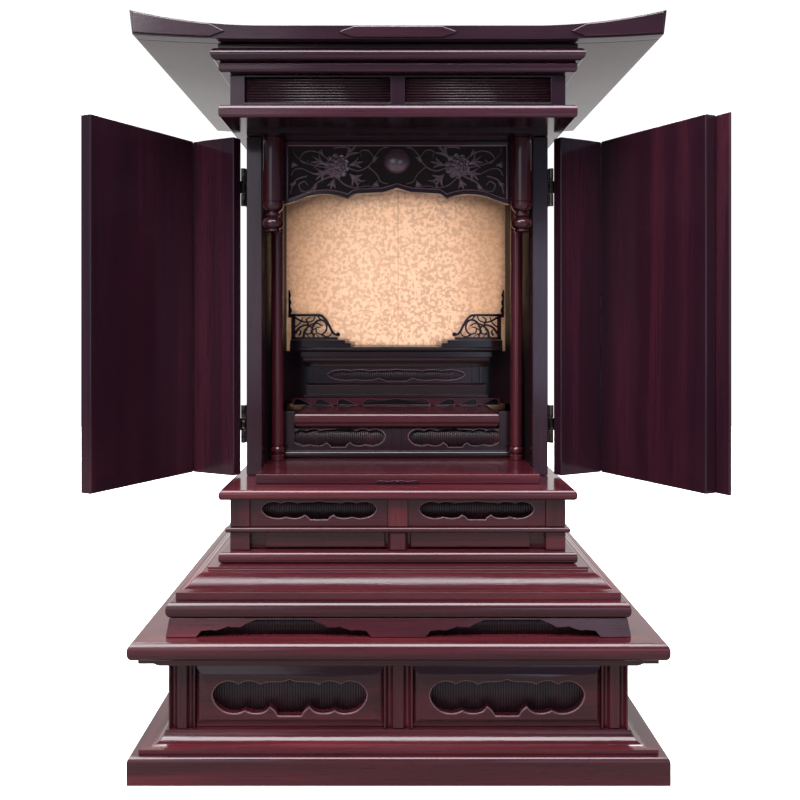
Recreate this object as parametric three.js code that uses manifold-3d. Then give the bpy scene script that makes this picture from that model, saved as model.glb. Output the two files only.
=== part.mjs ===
// A household altar cabinet in dark lacquered rosewood: a stepped stand, an open shrine case with a
// tiered altar and a gold backdrop, a flared roof, and two rigid L-shaped doors on outside hinges.
// Millimetres, +X right, +Y to the back, +Z up. The origin is on the underside, on the centre line, with the
// plinth's front edge 212.9 in front of it and the flat back 205 behind it.
import * as THREE from "three";
import { mergeVertices } from "three/addons/utils/BufferGeometryUtils.js";
import Module from "manifold-3d";

const wasm = await Module();
wasm.setup();

// ---- Driving dimensions -------------------------------------------------------------------------

const GAP = 0.3; // joint line between two pieces that touch
const BACK = 205; // the flat back of every tier
const BOARD = 7; // walls of the stand and the neck

// A tier is [half width, distance of its front from the origin]; every tier shares the back plane.
const PLINTH = { half: 209, front: 212.9, bottom: 0, top: 21.2 };
const SHELF = { half: 209, front: 212.9, bottom: 94.8, top: 108.6 };
const TORUS = { half: 182.7, front: 198.7, bottom: 123.6, top: 135.9 };
const SILL = { half: 149.3, front: 155.3, bottom: 155.7, top: 164.5 };
const FLOOR = { half: 149.3, front: 155.3, bottom: 208.0, top: 216.3 };
const CORNICE_PLATE = { half: 149.3, front: 155.3, bottom: 526.6, top: 537.1 };
const BASE = { half: 181.6, front: 192.3, bottom: 35.0, top: 85.8, post: 21 };
const NECK = { half: 140.9, front: 146.8, bottom: 164.8, rail: 180.0, upper: 184.5, top: 207.7, post: 16.4 };
const FRIEZE = { half: 140.9, front: 146.8, bottom: 537.4, top: 564.3, post: 12.4 };
const APRON = { bottom: 108.9, top: 123.3, half: 182.6, front: 198.4, batter: 2.4 };

const CASE = { half: 137.9, stile: 14.1, front: 78.2, stileDepth: 18, bottom: 216.6, top: 526.3 };
const INNER_FLOOR = { half: 123, front: 123.2, top: 224.5 };
const HEADER = { front: 105, bottom: 524 };
const GOLD_Y = 169.5;

const DOOR = { thick: 11, bottom: 217.9, top: 523.7, sideLeaf: 57.2, openDegrees: 117.5 };
const PIN = { x: 140.7, y: -78.6, radius: 0.8, knuckle: 2.2, height: 34.4, leaf: 14, plate: 1.0 };
const HINGE_BOTTOMS = [246.3, 462.7];

const ROOF = { half: 220.3, rake: 2.4, flat: 110, slabFront: 152.0, fasciaFront: 166, fasciaBack: 152.3 };
const LOBES = 3; // straight steps in each small arc of a lobed opening

// ---- Solids --------------------------------------------------------------------------------------

function solid(geometry) {
  const bare = geometry.clone();
  bare.deleteAttribute("normal");
  bare.deleteAttribute("uv");
  const merged = mergeVertices(bare, 1e-4);
  const triangles = [];
  for (let start = 0; start < merged.index.count; start += 3) {
    const corners = merged.index.array.slice(start, start + 3);
    if (new Set(corners).size === 3) triangles.push(...corners);
  }
  return new wasm.Manifold(new wasm.Mesh({
    numProp: 3,
    vertProperties: new Float32Array(merged.attributes.position.array),
    triVerts: new Uint32Array(triangles),
  }));
}

function geometryOf(manifold) {
  const mesh = manifold.getMesh();
  const geometry = new THREE.BufferGeometry();
  geometry.setAttribute("position", new THREE.BufferAttribute(new Float32Array(mesh.vertProperties), 3));
  geometry.setIndex(new THREE.BufferAttribute(new Uint32Array(mesh.triVerts), 1));
  const flat = geometry.toNonIndexed();
  flat.computeVertexNormals();
  return flat;
}

function join(...geometries) {
  return geometryOf(geometries.map(solid).reduce((whole, next) => whole.add(next)));
}

function cut(base, ...tools) {
  return geometryOf(tools.map(solid).reduce((rest, tool) => rest.subtract(tool), solid(base)));
}

function box(x0, x1, y0, y1, z0, z1) {
  const geometry = new THREE.BoxGeometry(x1 - x0, y1 - y0, z1 - z0);
  return geometry.translate((x0 + x1) / 2, (y0 + y1) / 2, (z0 + z1) / 2);
}

function shapeOf(points) {
  return new THREE.Shape(points.map(([x, y]) => new THREE.Vector2(x, y)));
}

// A plan outline [x, y] standing from z0 to z1.
function standing(points, z0, z1) {
  const geometry = new THREE.ExtrudeGeometry(shapeOf(points), { depth: z1 - z0, bevelEnabled: false });
  return geometry.translate(0, 0, z0);
}

// A front-view outline [x, z] running from y0 back to y1.
function frontal(points, y0, y1) {
  const geometry = new THREE.ExtrudeGeometry(shapeOf(points), { depth: y1 - y0, bevelEnabled: false });
  return geometry.rotateX(Math.PI / 2).translate(0, y1, 0);
}

// A side-view outline [y, z] running from x0 to x1.
function lateral(points, x0, x1) {
  const geometry = new THREE.ExtrudeGeometry(shapeOf(points), { depth: x1 - x0, bevelEnabled: false });
  return geometry.rotateX(Math.PI / 2).rotateZ(Math.PI / 2).translate(x0, 0, 0);
}

// Stacked rectangles: each ring is four corners, and the walls between rings may slope or step.
function stack(rings) {
  const vertices = rings.flat(2);
  const triangles = [0, 2, 1, 0, 3, 2];
  for (let ring = 0; ring < rings.length - 1; ring += 1) {
    for (let side = 0; side < 4; side += 1) {
      const [a, b] = [4 * ring + side, 4 * ring + ((side + 1) % 4)];
      triangles.push(a, b, b + 4, a, b + 4, a + 4);
    }
  }
  const last = 4 * (rings.length - 1);
  triangles.push(last, last + 1, last + 2, last, last + 2, last + 3);
  const geometry = new THREE.BufferGeometry();
  geometry.setAttribute("position", new THREE.Float32BufferAttribute(vertices, 3));
  geometry.setIndex(triangles);
  return geometry.toNonIndexed();
}

// A moulding around the front and both sides: a profile of [half width, front, z] with a flat back.
function moulding(profile, back = BACK) {
  return stack(profile.map(([half, front, z]) => [
    [-half, -front, z], [half, -front, z], [half, back, z], [-half, back, z],
  ]));
}

// A quarter-round from its narrow start to its full width, as [inset, height] steps.
function quarter(inset, height, steps = 4) {
  const points = [];
  for (let step = 0; step <= steps; step += 1) {
    const angle = (step / steps) * (Math.PI / 2);
    points.push([inset * (1 - Math.sin(angle)), height * (1 - Math.cos(angle))]);
  }
  return points;
}

// A board whose front and side edges are rounded below and above.
function roundedProfile({ half, front, bottom, top }, inset, lower, upper) {
  const below = lower > 0 ? quarter(inset, lower) : [[0, 0]];
  const above = upper > 0 ? quarter(inset, upper) : [[0, 0]];
  return [
    ...below.map(([away, rise]) => [half - away, front - away, bottom + rise]),
    ...above.reverse().map(([away, drop]) => [half - away, front - away, top - drop]),
  ];
}

function roundedBoard(tier, inset, lower, upper, back = BACK) {
  return moulding(roundedProfile(tier, inset, lower, upper), back);
}

// A three-sided wall, open at the front, of a given board thickness.
function openFrontCase(half, front, back, wall, z0, z1) {
  const inner = half - wall;
  return standing([
    [-half, -front], [-inner, -front], [-inner, back - wall], [inner, back - wall],
    [inner, -front], [half, -front], [half, back], [-half, back],
  ], z0, z1);
}

// A slab seen from the front whose face rises through a bevel to a raised field.
function raisedPanel(outer, bevel, faceY, bevelDepth, thick) {
  const { x0, x1, z0, z1 } = outer;
  const ring = (inset, y) => [
    [x0 + inset, y, z0 + inset], [x0 + inset, y, z1 - inset],
    [x1 - inset, y, z1 - inset], [x1 - inset, y, z0 + inset],
  ];
  return stack([ring(bevel, faceY), ring(0, faceY + bevelDepth), ring(0, faceY + bevelDepth + thick)]);
}

// A ribbon of even width along a curve of [x, z] points, as an outline.
function ribbon(points, width) {
  const sides = [[], []];
  points.forEach(([x, z], index) => {
    const [ax, az] = points[Math.max(index - 1, 0)];
    const [bx, bz] = points[Math.min(index + 1, points.length - 1)];
    const length = Math.hypot(bx - ax, bz - az);
    const [nx, nz] = [-(bz - az) / length, (bx - ax) / length];
    sides[0].push([x + (nx * width) / 2, z + (nz * width) / 2]);
    sides[1].push([x - (nx * width) / 2, z - (nz * width) / 2]);
  });
  return [...sides[1], ...sides[0].reverse()];
}

function smooth(points, steps) {
  const curve = new THREE.CatmullRomCurve3(points.map(([x, z]) => new THREE.Vector3(x, z, 0)));
  return curve.getPoints(steps).map((point) => [point.x, point.y]);
}

function mirrored(points) {
  return points.map(([x, z]) => [-x, z]).reverse();
}

function turned(profile, x, y, sides) {
  const outline = profile.map(([radius, z]) => new THREE.Vector2(radius, z));
  const geometry = new THREE.LatheGeometry(outline, sides);
  return geometry.rotateX(Math.PI / 2).translate(x, y, 0);
}

// ---- Finishes ------------------------------------------------------------------------------------

const lacquer = () => new THREE.MeshStandardMaterial({ color: 0x3a1519, roughness: 0.22, metalness: 0 });
const darkLacquer = () => new THREE.MeshStandardMaterial({ color: 0x24100f, roughness: 0.45, metalness: 0 });
const goldPaper = () => new THREE.MeshStandardMaterial({ color: 0xd8b184, roughness: 0.6, metalness: 0.2 });
const hingeMetal = () => new THREE.MeshStandardMaterial({ color: 0x5a4a30, roughness: 0.4, metalness: 0.9 });

const cabinet = new THREE.Group();

function place(name, geometry, material = lacquer(), parent = cabinet) {
  const mesh = new THREE.Mesh(geometry, material);
  mesh.name = name;
  parent.add(mesh);
}

// ---- Lobed openings ------------------------------------------------------------------------------

// Points of a shallow arc between two points, bulging to the left of the way by a sagitta.
function arc([ax, az], [bx, bz], sagitta) {
  const points = [];
  const length = Math.hypot(bx - ax, bz - az);
  const [nx, nz] = [-(bz - az) / length, (bx - ax) / length];
  for (let step = 0; step < LOBES; step += 1) {
    const t = step / LOBES;
    const rise = 4 * t * (1 - t) * sagitta;
    points.push([ax + (bx - ax) * t + nx * rise, az + (bz - az) * t + nz * rise]);
  }
  return points;
}

// The right half of the lobed outline in units of its half width and half height, from the middle of
// the bottom round to the middle of the top: a flat drop, a tall cusp, a lobe, the round end, a lobe and
// the brace that rises to the middle peak.
const LOBED_HALF = [
  { at: [0, -1.12], bulge: 0 }, { at: [0.15, -1.12], bulge: 0 }, { at: [0.236, -0.585], bulge: -0.26 },
  { at: [0.6, -0.75], bulge: -0.42 }, { at: [1, 0.05], bulge: -0.42 }, { at: [0.69, 0.75], bulge: -0.23 },
  { at: [0.39, 0.75], bulge: -0.14 }, { at: [0.1, 0.92], bulge: 0 }, { at: [0, 1.085], bulge: 0 },
];

function lobedOutline(centreX, centreZ, halfWidth, halfHeight) {
  const half = [];
  for (let index = 0; index < LOBED_HALF.length - 1; index += 1) {
    const scale = ([u, v]) => [u * halfWidth, v * halfHeight];
    const { at, bulge } = LOBED_HALF[index];
    const [from, to] = [scale(at), scale(LOBED_HALF[index + 1].at)];
    const points = arc(from, to, bulge * halfHeight);
    half.push(...(bulge === 0 ? points.slice(0, 1) : points));
  }
  const top = [0, LOBED_HALF.at(-1).at[1] * halfHeight];
  const whole = [...half, top, ...mirrored(half.slice(1))];
  return whole.map(([x, z]) => [centreX + x, centreZ + z]);
}

// ---- Stand ---------------------------------------------------------------------------------------

// The plinth and the stepped ovolo that carries the base box.
function buildPlinth() {
  place("plinth_board", roundedBoard(PLINTH, 2.6, 0, 4.5));
  const step = [[201.2, 207.5, PLINTH.top + GAP], [201.2, 207.5, 25.1], [196, 206.7, 25.1]];
  const ovolo = quarter(12.4, 9.6).map(([away, rise]) => [183.6 + away, 194.3 + away, 25.1 + rise]);
  const risen = ovolo.map(([half, front], index) => [half, front, ovolo[index][2]]);
  place("plinth_moulding", moulding([...step.slice(0, 2), ...risen]));
}

// A post with a flat rib between two hollow flutes on its front face, as a plan outline.
function flutedPost(x0, x1, front, depth) {
  const width = x1 - x0;
  const face = [];
  const flute = (from, to) => {
    for (let step = 0; step <= 4; step += 1) {
      const t = step / 4;
      face.push([x0 + width * (from + (to - from) * t), -front + 1.7 * Math.sin(Math.PI * t)]);
    }
  };
  face.push([x0, -front]);
  flute(0.06, 0.33);
  flute(0.67, 0.94);
  face.push([x1, -front], [x1, -front + depth], [x0, -front + depth]);
  return face;
}

function buildBaseBox() {
  const { half, front, bottom, top, post } = BASE;
  const backing = front - 8.3;
  place("base_case", openFrontCase(half - 0.5, front - post - GAP, BACK, BOARD, bottom, top));
  const posts = [["left", -half, -half + post, post], ["middle", -11.5, 11.5, 8], ["right", half - post, half, post]];
  for (const [side, x0, x1, depth] of posts) {
    place(`base_post_${side}`, standing(flutedPost(x0, x1, front, depth), bottom, top));
  }
  const centreZ = 58.5;
  for (const [side, sign] of [["left", -1], ["right", 1]]) {
    const [inner, outer] = [11.5 + GAP, half - post - GAP].map((x) => x * sign);
    const [x0, x1] = [Math.min(inner, outer), Math.max(inner, outer)];
    const middle = (x0 + x1) / 2;
    const slab = box(x0, x1, -front + 3.3, -backing, bottom, top);
    const field = raisedPanel({ x0, x1, z0: 37.3, z1: 82.1 }, 4.5, -front + 0.8, 2.7, 1);
    const opening = frontal(lobedOutline(middle, centreZ, 60.75, 13.3), -front - 1, -front + 12);
    place(`base_panel_${side}`, cut(join(slab, field), opening));
  }
  const reach = half - post - GAP;
  place("base_reeded_board", box(-reach, reach, -backing + GAP, -backing + 5, bottom, top), darkLacquer());
}

function buildShelf() {
  const under = [[188, 196.5, 86.1], [190.5, 196.8, 86.9], [193.6, 198.0, 89.4], [194, 198.4, 91.1],
    [202, 205.9, 91.1], [202, 205.9, SHELF.bottom]];
  place("shelf_board", moulding([...under, ...roundedProfile(SHELF, 4.4, 6, 6)]));
}

// The waved edge of a bracket, as [run from its foot, height above the shelf]; it climbs to the top edge.
const BRACKET_EDGE = [[0, 0], [3.9, 4.7], [11, 5.5], [15, 5.0], [20.4, 6.4], [25.1, 8.2], [27.4, 7.6],
  [34.5, 7.5], [38.5, 9.8], [47, 13.1]];

// One opening between a middle bracket and a corner bracket, cut through the apron.
function apronOpening(middleFoot, cornerFoot) {
  const rising = BRACKET_EDGE.map(([run, height]) => [middleFoot + run, APRON.bottom + height]);
  const falling = BRACKET_EDGE.map(([run, height]) => [cornerFoot - run, APRON.bottom + height]).reverse();
  return [[middleFoot, APRON.bottom - 2], ...rising, ...falling, [cornerFoot, APRON.bottom - 2]].reverse();
}

function buildApron() {
  const { bottom, top, half, front, batter } = APRON;
  const outside = moulding([[half, front, bottom], [half - batter, front - batter, top]]);
  const inside = box(-half + 8, half - 8, -front + 8, BACK - 8, bottom - 1, top + 1);
  const corner = 24;
  const openings = [];
  const opening = apronOpening(21.3, half - corner);
  openings.push(frontal(opening, -front - 1, -front + 9), frontal(mirrored(opening), -front - 1, -front + 9));
  const middleY = (BACK - front) / 2;
  const sideOpening = apronOpening(21.3, (BACK + front) / 2 - corner);
  for (const outline of [sideOpening, mirrored(sideOpening)]) {
    const shifted = outline.map(([along, z]) => [middleY + along, z]);
    openings.push(lateral(shifted, -half - 1, -half + 9), lateral(shifted, half - 9, half + 1));
  }
  place("apron_frame", cut(outside, inside, ...openings));
  const inner = half - 8 - GAP;
  place("apron_reeded_board", standing([
    [-inner, -front + 8 + GAP], [inner, -front + 8 + GAP], [inner, BACK - 9], [inner - 5, BACK - 9],
    [inner - 5, -front + 13], [-inner + 5, -front + 13], [-inner + 5, BACK - 9], [-inner, BACK - 9],
  ], bottom, top), darkLacquer());
}

function buildStandTop() {
  place("torus_board", roundedBoard(TORUS, 4, 6, 6));
  const profile = [[176.3, 191.1, TORUS.top + GAP], [176.3, 191.1, 142.1], [174.4, 189.2, 142.1]];
  const [low, high] = [{ half: 174.4, front: 189.2, z: 142.1 }, { half: 157.5, front: 166.8, z: 153.2 }];
  const steps = 8;
  for (let step = 1; step <= steps; step += 1) {
    const t = step / steps;
    const z = low.z + (high.z - low.z) * (t - Math.sin(2 * Math.PI * t) * 0.09);
    profile.push([low.half + (high.half - low.half) * t, low.front + (high.front - low.front) * t, z]);
  }
  profile.push([156.4, 164.4, 153.2], [156.4, 164.4, SILL.bottom - GAP]);
  place("cyma_moulding", moulding(profile));
  place("neck_sill", roundedBoard(SILL, 2.5, 3.5, 4.2));
}

// ---- Neck ----------------------------------------------------------------------------------------

function buildNeck() {
  const { half, front, bottom, rail, upper, top, post } = NECK;
  const wallFront = front - post - GAP;
  place("neck_case", openFrontCase(half - 0.5, wallFront, BACK, BOARD, bottom, top));

  const lowerTop = rail - GAP;
  const lower = [box(-half, half, -front + 8, -wallFront - GAP, bottom, lowerTop)];
  for (const sign of [-1, 1]) {
    const [postX, panelX] = [[half - post, half], [11, 111.6]].map((xs) => xs.map((x) => x * sign).sort((a, b) => a - b));
    lower.push(box(...postX, -front, -front + 9, bottom, lowerTop));
    lower.push(box(...panelX, -front + 4.2, -front + 9, bottom + 1.6, lowerTop));
  }
  const block = [[-8, -front + 9], [-8, -front + 1.5], [-6, -front - 1.2], [6, -front - 1.2], [8, -front + 1.5], [8, -front + 9]];
  lower.push(standing(block, bottom, lowerTop));
  place("neck_lower_front", join(...lower));

  const [railHalf, railFront] = [half + 3.6, front + 3.4];
  const railRing = roundedBoard({ half: railHalf, front: railFront, bottom: rail, top: upper - GAP }, 1.4, 2, 2);
  const pocket = box(-half + 0.5 - GAP, half - 0.5 + GAP, -wallFront - 3, BACK + 1, rail - 1, upper + 1);
  place("neck_rail", cut(railRing, pocket));

  const boardFront = front - 11;
  const board = box(-half, half, -boardFront, -wallFront - GAP, upper, top);
  place("neck_reeded_board", board, darkLacquer());
  const frame = [];
  for (const [x0, x1] of [[-half, -half + post], [-8.4, 8.4], [half - post, half]]) {
    frame.push(box(x0, x1, -front, -boardFront - GAP, upper, top));
  }
  for (const [z0, z1] of [[upper, upper + 3.4], [top - 2, top]]) {
    frame.push(box(-half + 1, half - 1, -front + 6.6, -boardFront - GAP, z0, z1));
  }
  place("neck_upper_frame", join(...frame));
  for (const [side, sign] of [["left", -1], ["right", 1]]) {
    const [x0, x1] = [8.4 + GAP, half - post - GAP].map((x) => x * sign).sort((a, b) => a - b);
    const slab = box(x0, x1, -front + 2.3, -front + 6.3, upper, top);
    const opening = frontal(lobedOutline((x0 + x1) / 2, 197.6, 47.9, 7.2), -front, -front + 8);
    place(`neck_panel_${side}`, cut(slab, opening));
  }
}

// ---- Case ----------------------------------------------------------------------------------------

function buildFloors() {
  place("floor_board", roundedBoard(FLOOR, 2.5, 3.5, 4));
  const { half, front, top } = INNER_FLOOR;
  const behind = CASE.half - 1.5 - 6 - GAP;
  const stileBack = -CASE.front + CASE.stileDepth + GAP;
  place("inner_floor", standing([
    [-half, -front], [half, -front], [half, stileBack], [behind, stileBack], [behind, GOLD_Y - GAP],
    [-behind, GOLD_Y - GAP], [-behind, stileBack], [-half, stileBack],
  ], FLOOR.top + GAP, top));
  const ornament = [[-18.3, 1.5], [-16.2, 0], [16.2, 0], [18.3, 1.5], [16.2, 3.1], [-16.2, 3.1]];
  const knob = [[-1.6, 0], [1.6, 0], [1.6, 2.4], [-1.6, 2.4]];
  const lift = (points) => points.map(([x, z]) => [x, FLOOR.top + GAP + z]);
  const carved = join(
    frontal(lift(ornament), -front - 1.1, -front - GAP),
    frontal(lift(knob), -front - 1.6, -front - GAP),
  );
  place("threshold_ornament", carved);
}

// One side of the case: a front stile, a thinner panel set in a little, and a rear post.
function caseSide(sign) {
  const { half, stile, front, stileDepth, bottom, top } = CASE;
  const inner = half - stile;
  const [panelOut, panelIn] = [half - 1.5, half - 7.5];
  const [stileBack, rear] = [-front + stileDepth, BACK - 8 - GAP];
  const outline = [
    [inner, -front], [half, -front], [half, stileBack], [panelOut, stileBack], [panelOut, rear - 16],
    [half, rear - 16], [half, rear], [inner, rear], [inner, rear - 16], [panelIn, rear - 16],
    [panelIn, stileBack], [inner, stileBack],
  ].map(([x, y]) => [x * sign, y]);
  return standing(sign > 0 ? outline : outline.reverse(), bottom, top);
}

function buildCase() {
  place("case_side_left", caseSide(-1));
  place("case_side_right", caseSide(1));
  place("case_back", box(-CASE.half, CASE.half, BACK - 8, BACK, CASE.bottom, CASE.top));
  const reach = CASE.half - 7.5 - GAP;
  place("gold_backdrop", box(-reach, reach, GOLD_Y, GOLD_Y + 3, CASE.bottom, HEADER.bottom - GAP), goldPaper());
}

// ---- Carved transom and turned work --------------------------------------------------------------

const TRANSOM = { half: 105.3, front: 70.4, thick: 8, top: 523.7, band: 4.6, sunk: 3.6, lugHalf: 123.5 };

// Half of the transom's lower edge, from the middle peak out to the end: [x, z].
const TRANSOM_EDGE = [[0, 480.7], [6.5, 478.7], [11.2, 477.3], [15.8, 476.5], [34.3, 475.6], [40.7, 474.5],
  [45.8, 471.0], [53, 473.2], [62, 474.7], [71, 474.7], [80.5, 473.2], [89.7, 469.9], [100.8, 466.2], [105.3, 465.6]];

function transomOutline(inset) {
  const reach = TRANSOM.half - inset;
  const half = TRANSOM_EDGE.filter(([x]) => x < reach - 2).map(([x, z]) => [x, z + inset]);
  half.push([reach, TRANSOM_EDGE.at(-1)[1] + inset]);
  const topRight = [reach, TRANSOM.top - inset];
  return [...mirrored(half.slice(1)), ...half, topRight, [-topRight[0], topRight[1]]];
}

// A round or oval boss standing forward from the transom's sunk field.
function dome(x, z, radius, height, squash = 1) {
  const profile = [new THREE.Vector2(0, -0.2), new THREE.Vector2(1, -0.2)];
  for (let step = 0; step <= 4; step += 1) {
    const angle = (step / 4) * (Math.PI / 2);
    profile.push(new THREE.Vector2(step === 4 ? 0 : Math.cos(angle), Math.sin(angle)));
  }
  const boss = new THREE.LatheGeometry(profile, 12).scale(radius, height, radius * squash);
  return boss.rotateX(Math.PI).translate(x, -TRANSOM.front + TRANSOM.sunk, z);
}

// A pointed leaf lying along a direction, as a raised lozenge with curved flanks.
function leaf(x, z, length, width, degrees, proud) {
  const angle = THREE.MathUtils.degToRad(degrees);
  const outline = [];
  for (const side of [1, -1]) {
    for (let step = 0; step < 3; step += 1) {
      const t = side > 0 ? step / 3 : 1 - step / 3;
      const across = side * (width / 2) * Math.sin(Math.PI * t) ** 0.8;
      const [along, off] = [t * length, -across];
      outline.push([
        x + along * Math.cos(angle) - off * Math.sin(angle), z + along * Math.sin(angle) + off * Math.cos(angle),
      ]);
    }
  }
  const y0 = -TRANSOM.front + TRANSOM.sunk - proud;
  return frontal(outline, y0, -TRANSOM.front + TRANSOM.sunk + 1);
}

// The peony on one side: a domed heart in a ring of petals, with leaves and a stem that curls away.
function peony(sign) {
  const [x, z] = [56 * sign, 501.3];
  const pieces = [dome(x, z, 8.6, 3.9)];
  const petals = 7;
  for (let index = 0; index < petals; index += 1) {
    pieces.push(leaf(x, z, 15.5, 8, (index + 0.5) * (360 / petals), 1.4));
  }
  const leaves = [[14, 9, 142, 14], [15, 2, 172, 13], [12, -7, 205, 14], [9, -12, 232, 12], [-10, -12, 300, 13],
    [-14, -6, 335, 14], [-13, 8, 38, 15]];
  for (const [dx, dz, degrees, length] of leaves) {
    const towards = sign < 0 ? degrees : 180 - degrees;
    pieces.push(leaf(x - dx * -sign * -1, z + dz, length, 6, towards, 1.9));
  }
  const stem = smooth([[-70, 499], [-80, 501], [-90, 497], [-95, 491], [-90, 487], [-86, 491]], 8)
    .map(([sx, sz]) => [-sx * sign, sz]);
  const inner = smooth([[-40, 494], [-30, 498], [-24, 505], [-30, 512], [-38, 509]], 7)
    .map(([sx, sz]) => [-sx * sign, sz]);
  for (const path of [stem, inner]) {
    pieces.push(frontal(ribbon(path, 2), -TRANSOM.front + 1.6, -TRANSOM.front + TRANSOM.sunk + 1));
  }
  return pieces;
}

function buildTransom() {
  const { front, thick, band, sunk, lugHalf, half, top } = TRANSOM;
  const board = frontal(transomOutline(0), -front, -front + thick);
  const field = frontal(transomOutline(band), -front - 1, -front + sunk);
  const lugs = [-1, 1].map((sign) => {
    const [x0, x1] = [half - 1, lugHalf].map((x) => x * sign).sort((a, b) => a - b);
    return box(x0, x1, -front + 3, -front + thick, 470, top);
  });
  const carving = [dome(0, 503.6, 12, 6.4, 0.9), ...peony(-1), ...peony(1)];
  place("transom", join(cut(board, field), ...lugs, ...carving));
}

const PENDANT = { x: 113.1, y: -82 };
// Radius and height, from the finial's end up to the header.
const PENDANT_PROFILE = [[0, 438.2], [5.2, 438.2], [6.4, 439.4], [6.2, 440.6], [8.6, 442.6], [9.8, 446.0], [8.9, 449.4],
  [5.6, 452.2], [6.4, 453.6], [5.4, 455.4], [5.4, 456.6], [8.2, 458.8], [9.8, 462.4], [9.8, 464.9], [9.1, 465.5],
  [9.8, 466.2], [9.8, 523.7], [0, 523.7]];
const COLUMN = { x: 115.3, y: -33, radius: 5.8 };
const COLUMN_PROFILE = [[0, 224.8], [6.6, 224.8], [6.6, 228.4], [5.2, 229.4], [6.3, 232], [6.5, 234.4],
  [4.9, 237.4], [COLUMN.radius, 238.6], [COLUMN.radius, 523.7], [0, 523.7]];

function buildTurnedWork() {
  for (const [side, sign] of [["left", -1], ["right", 1]]) {
    place(`pendant_${side}`, turned(PENDANT_PROFILE, PENDANT.x * sign, PENDANT.y, 14));
    place(`column_${side}`, turned(COLUMN_PROFILE, COLUMN.x * sign, COLUMN.y, 12));
  }
}

// ---- Altar inside the case -----------------------------------------------------------------------

const LOWER_ALTAR = { half: 107.7, face: -17, lip: -22.4, wing: 129.5, top: 252.8, back: 165 };
const ALTAR_SHELF = { half: 100, front: 22.4, bottom: 253.1, top: 269.1 };
const UPPER_ALTAR = { front: -51.6, back: 165 };

function buildLowerAltar() {
  const { half, face, lip, wing, top, back } = LOWER_ALTAR;
  const bottom = INNER_FLOOR.top + GAP;
  const slab = roundedBoard({ half: wing, front: -lip, bottom, top: 230.6 }, 1.8, 2, 3, back);
  const walls = cut(
    box(-half, half, face, back, 230, top),
    box(-half + 6, half - 6, face + 6, back - 6, 230.6, top + 1),
    ...[-1, 1].map((sign) => frontal(lobedOutline(57.4 * sign, 243.4, 45.7, 8.6), face - 1, face + 3)),
  );
  const post = box(-4.6, 4.6, face - 1.2, face + 1, 230.6, top);
  const wings = [-1, 1].map((sign) => {
    const [x0, x1] = [ALTAR_SHELF.half + GAP, wing].map((x) => x * sign).sort((a, b) => a - b);
    return box(x0, x1, face - 0.6, face + 8, 230, ALTAR_SHELF.top);
  });
  place("lower_altar_stage", join(slab, walls, post, ...wings), darkLacquer());
  const seat = box(-half, half, -UPPER_ALTAR.front - 2.3, back + 1, top + 16, ALTAR_SHELF.top + 1);
  place("altar_shelf", cut(roundedBoard(ALTAR_SHELF, 5, 8, 6, back), seat));
}

function buildUpperAltar() {
  const { front, back } = UPPER_ALTAR;
  const base = ALTAR_SHELF.top + GAP;
  const profile = [[110, front, base], [110, front, 277], [110, front - 2, 277.6], [97, front + 1, 277.6],
    [97, front + 1, 280.6], [95, front - 1, 281], [95, front - 0.6, 290.6], [95, front - 4, 292.6],
    [94.3, front - 5, 292.6], [94.3, front - 5, 310], [96, front - 3.4, 310], [98.6, front - 0.8, 316],
    [98.6, front - 0.8, 320.2], [101, front + 1.6, 320.4], [101, front + 1.6, 326]];
  const body = moulding(profile, back);
  const hollow = box(-86, 86, -front + 12, back + 1, base + 8, 320);
  const cheeks = [-1, 1].map((sign) => {
    const [x0, x1] = [90, LOWER_ALTAR.wing].map((x) => x * sign).sort((a, b) => a - b);
    return box(x0, x1, -front + 20, -front + 28, base, 326);
  });
  const feet = [];
  for (const [x0, x1, high] of [[-108, -89, -104], [-85, -65.5, -80], [-61.5, -40, -56], [-36, 36, 0],
    [40, 61.5, 56], [65.5, 85, 80], [89, 108, 104]]) {
    const outline = [[x0, base - 1], [x1, base - 1], [x1, base + 1], [high + 4, base + 5.6], [high - 4, base + 5.6],
      [x0, base + 1]];
    feet.push(frontal(outline, -front - 1, -front + 5));
  }
  const opening = frontal(lobedOutline(0, 300.8, 72.4, 5.6), -front - 1, -front + 8);
  const posts = [-1, 1].map((sign) => {
    const [x0, x1] = [80, 84.5].map((x) => x * sign).sort((a, b) => a - b);
    return box(x0, x1, -front + 3.6, -front + 6, 292.6, 310);
  });
  place("upper_altar_stage", join(cut(body, hollow, ...feet, opening), ...posts, ...cheeks), darkLacquer());

  const top = { half: 112, front: front + 3.4, bottom: 326.3, top: 331 };
  const platforms = [-1, 1].flatMap((sign) => [[47.8, 330.5, 335.1], [54, 335, 338.2]].map(([x, z0, z1]) => {
    const [x0, x1] = [x, 112].map((edge) => edge * sign).sort((a, b) => a - b);
    return box(x0, x1, -front - 2.4 + (x - 47.8) * 0.2, back, z0, z1);
  }));
  place("upper_altar_top", join(roundedBoard(top, 1.8, 1.8, 1.8, back), ...platforms), darkLacquer());
}

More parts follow.
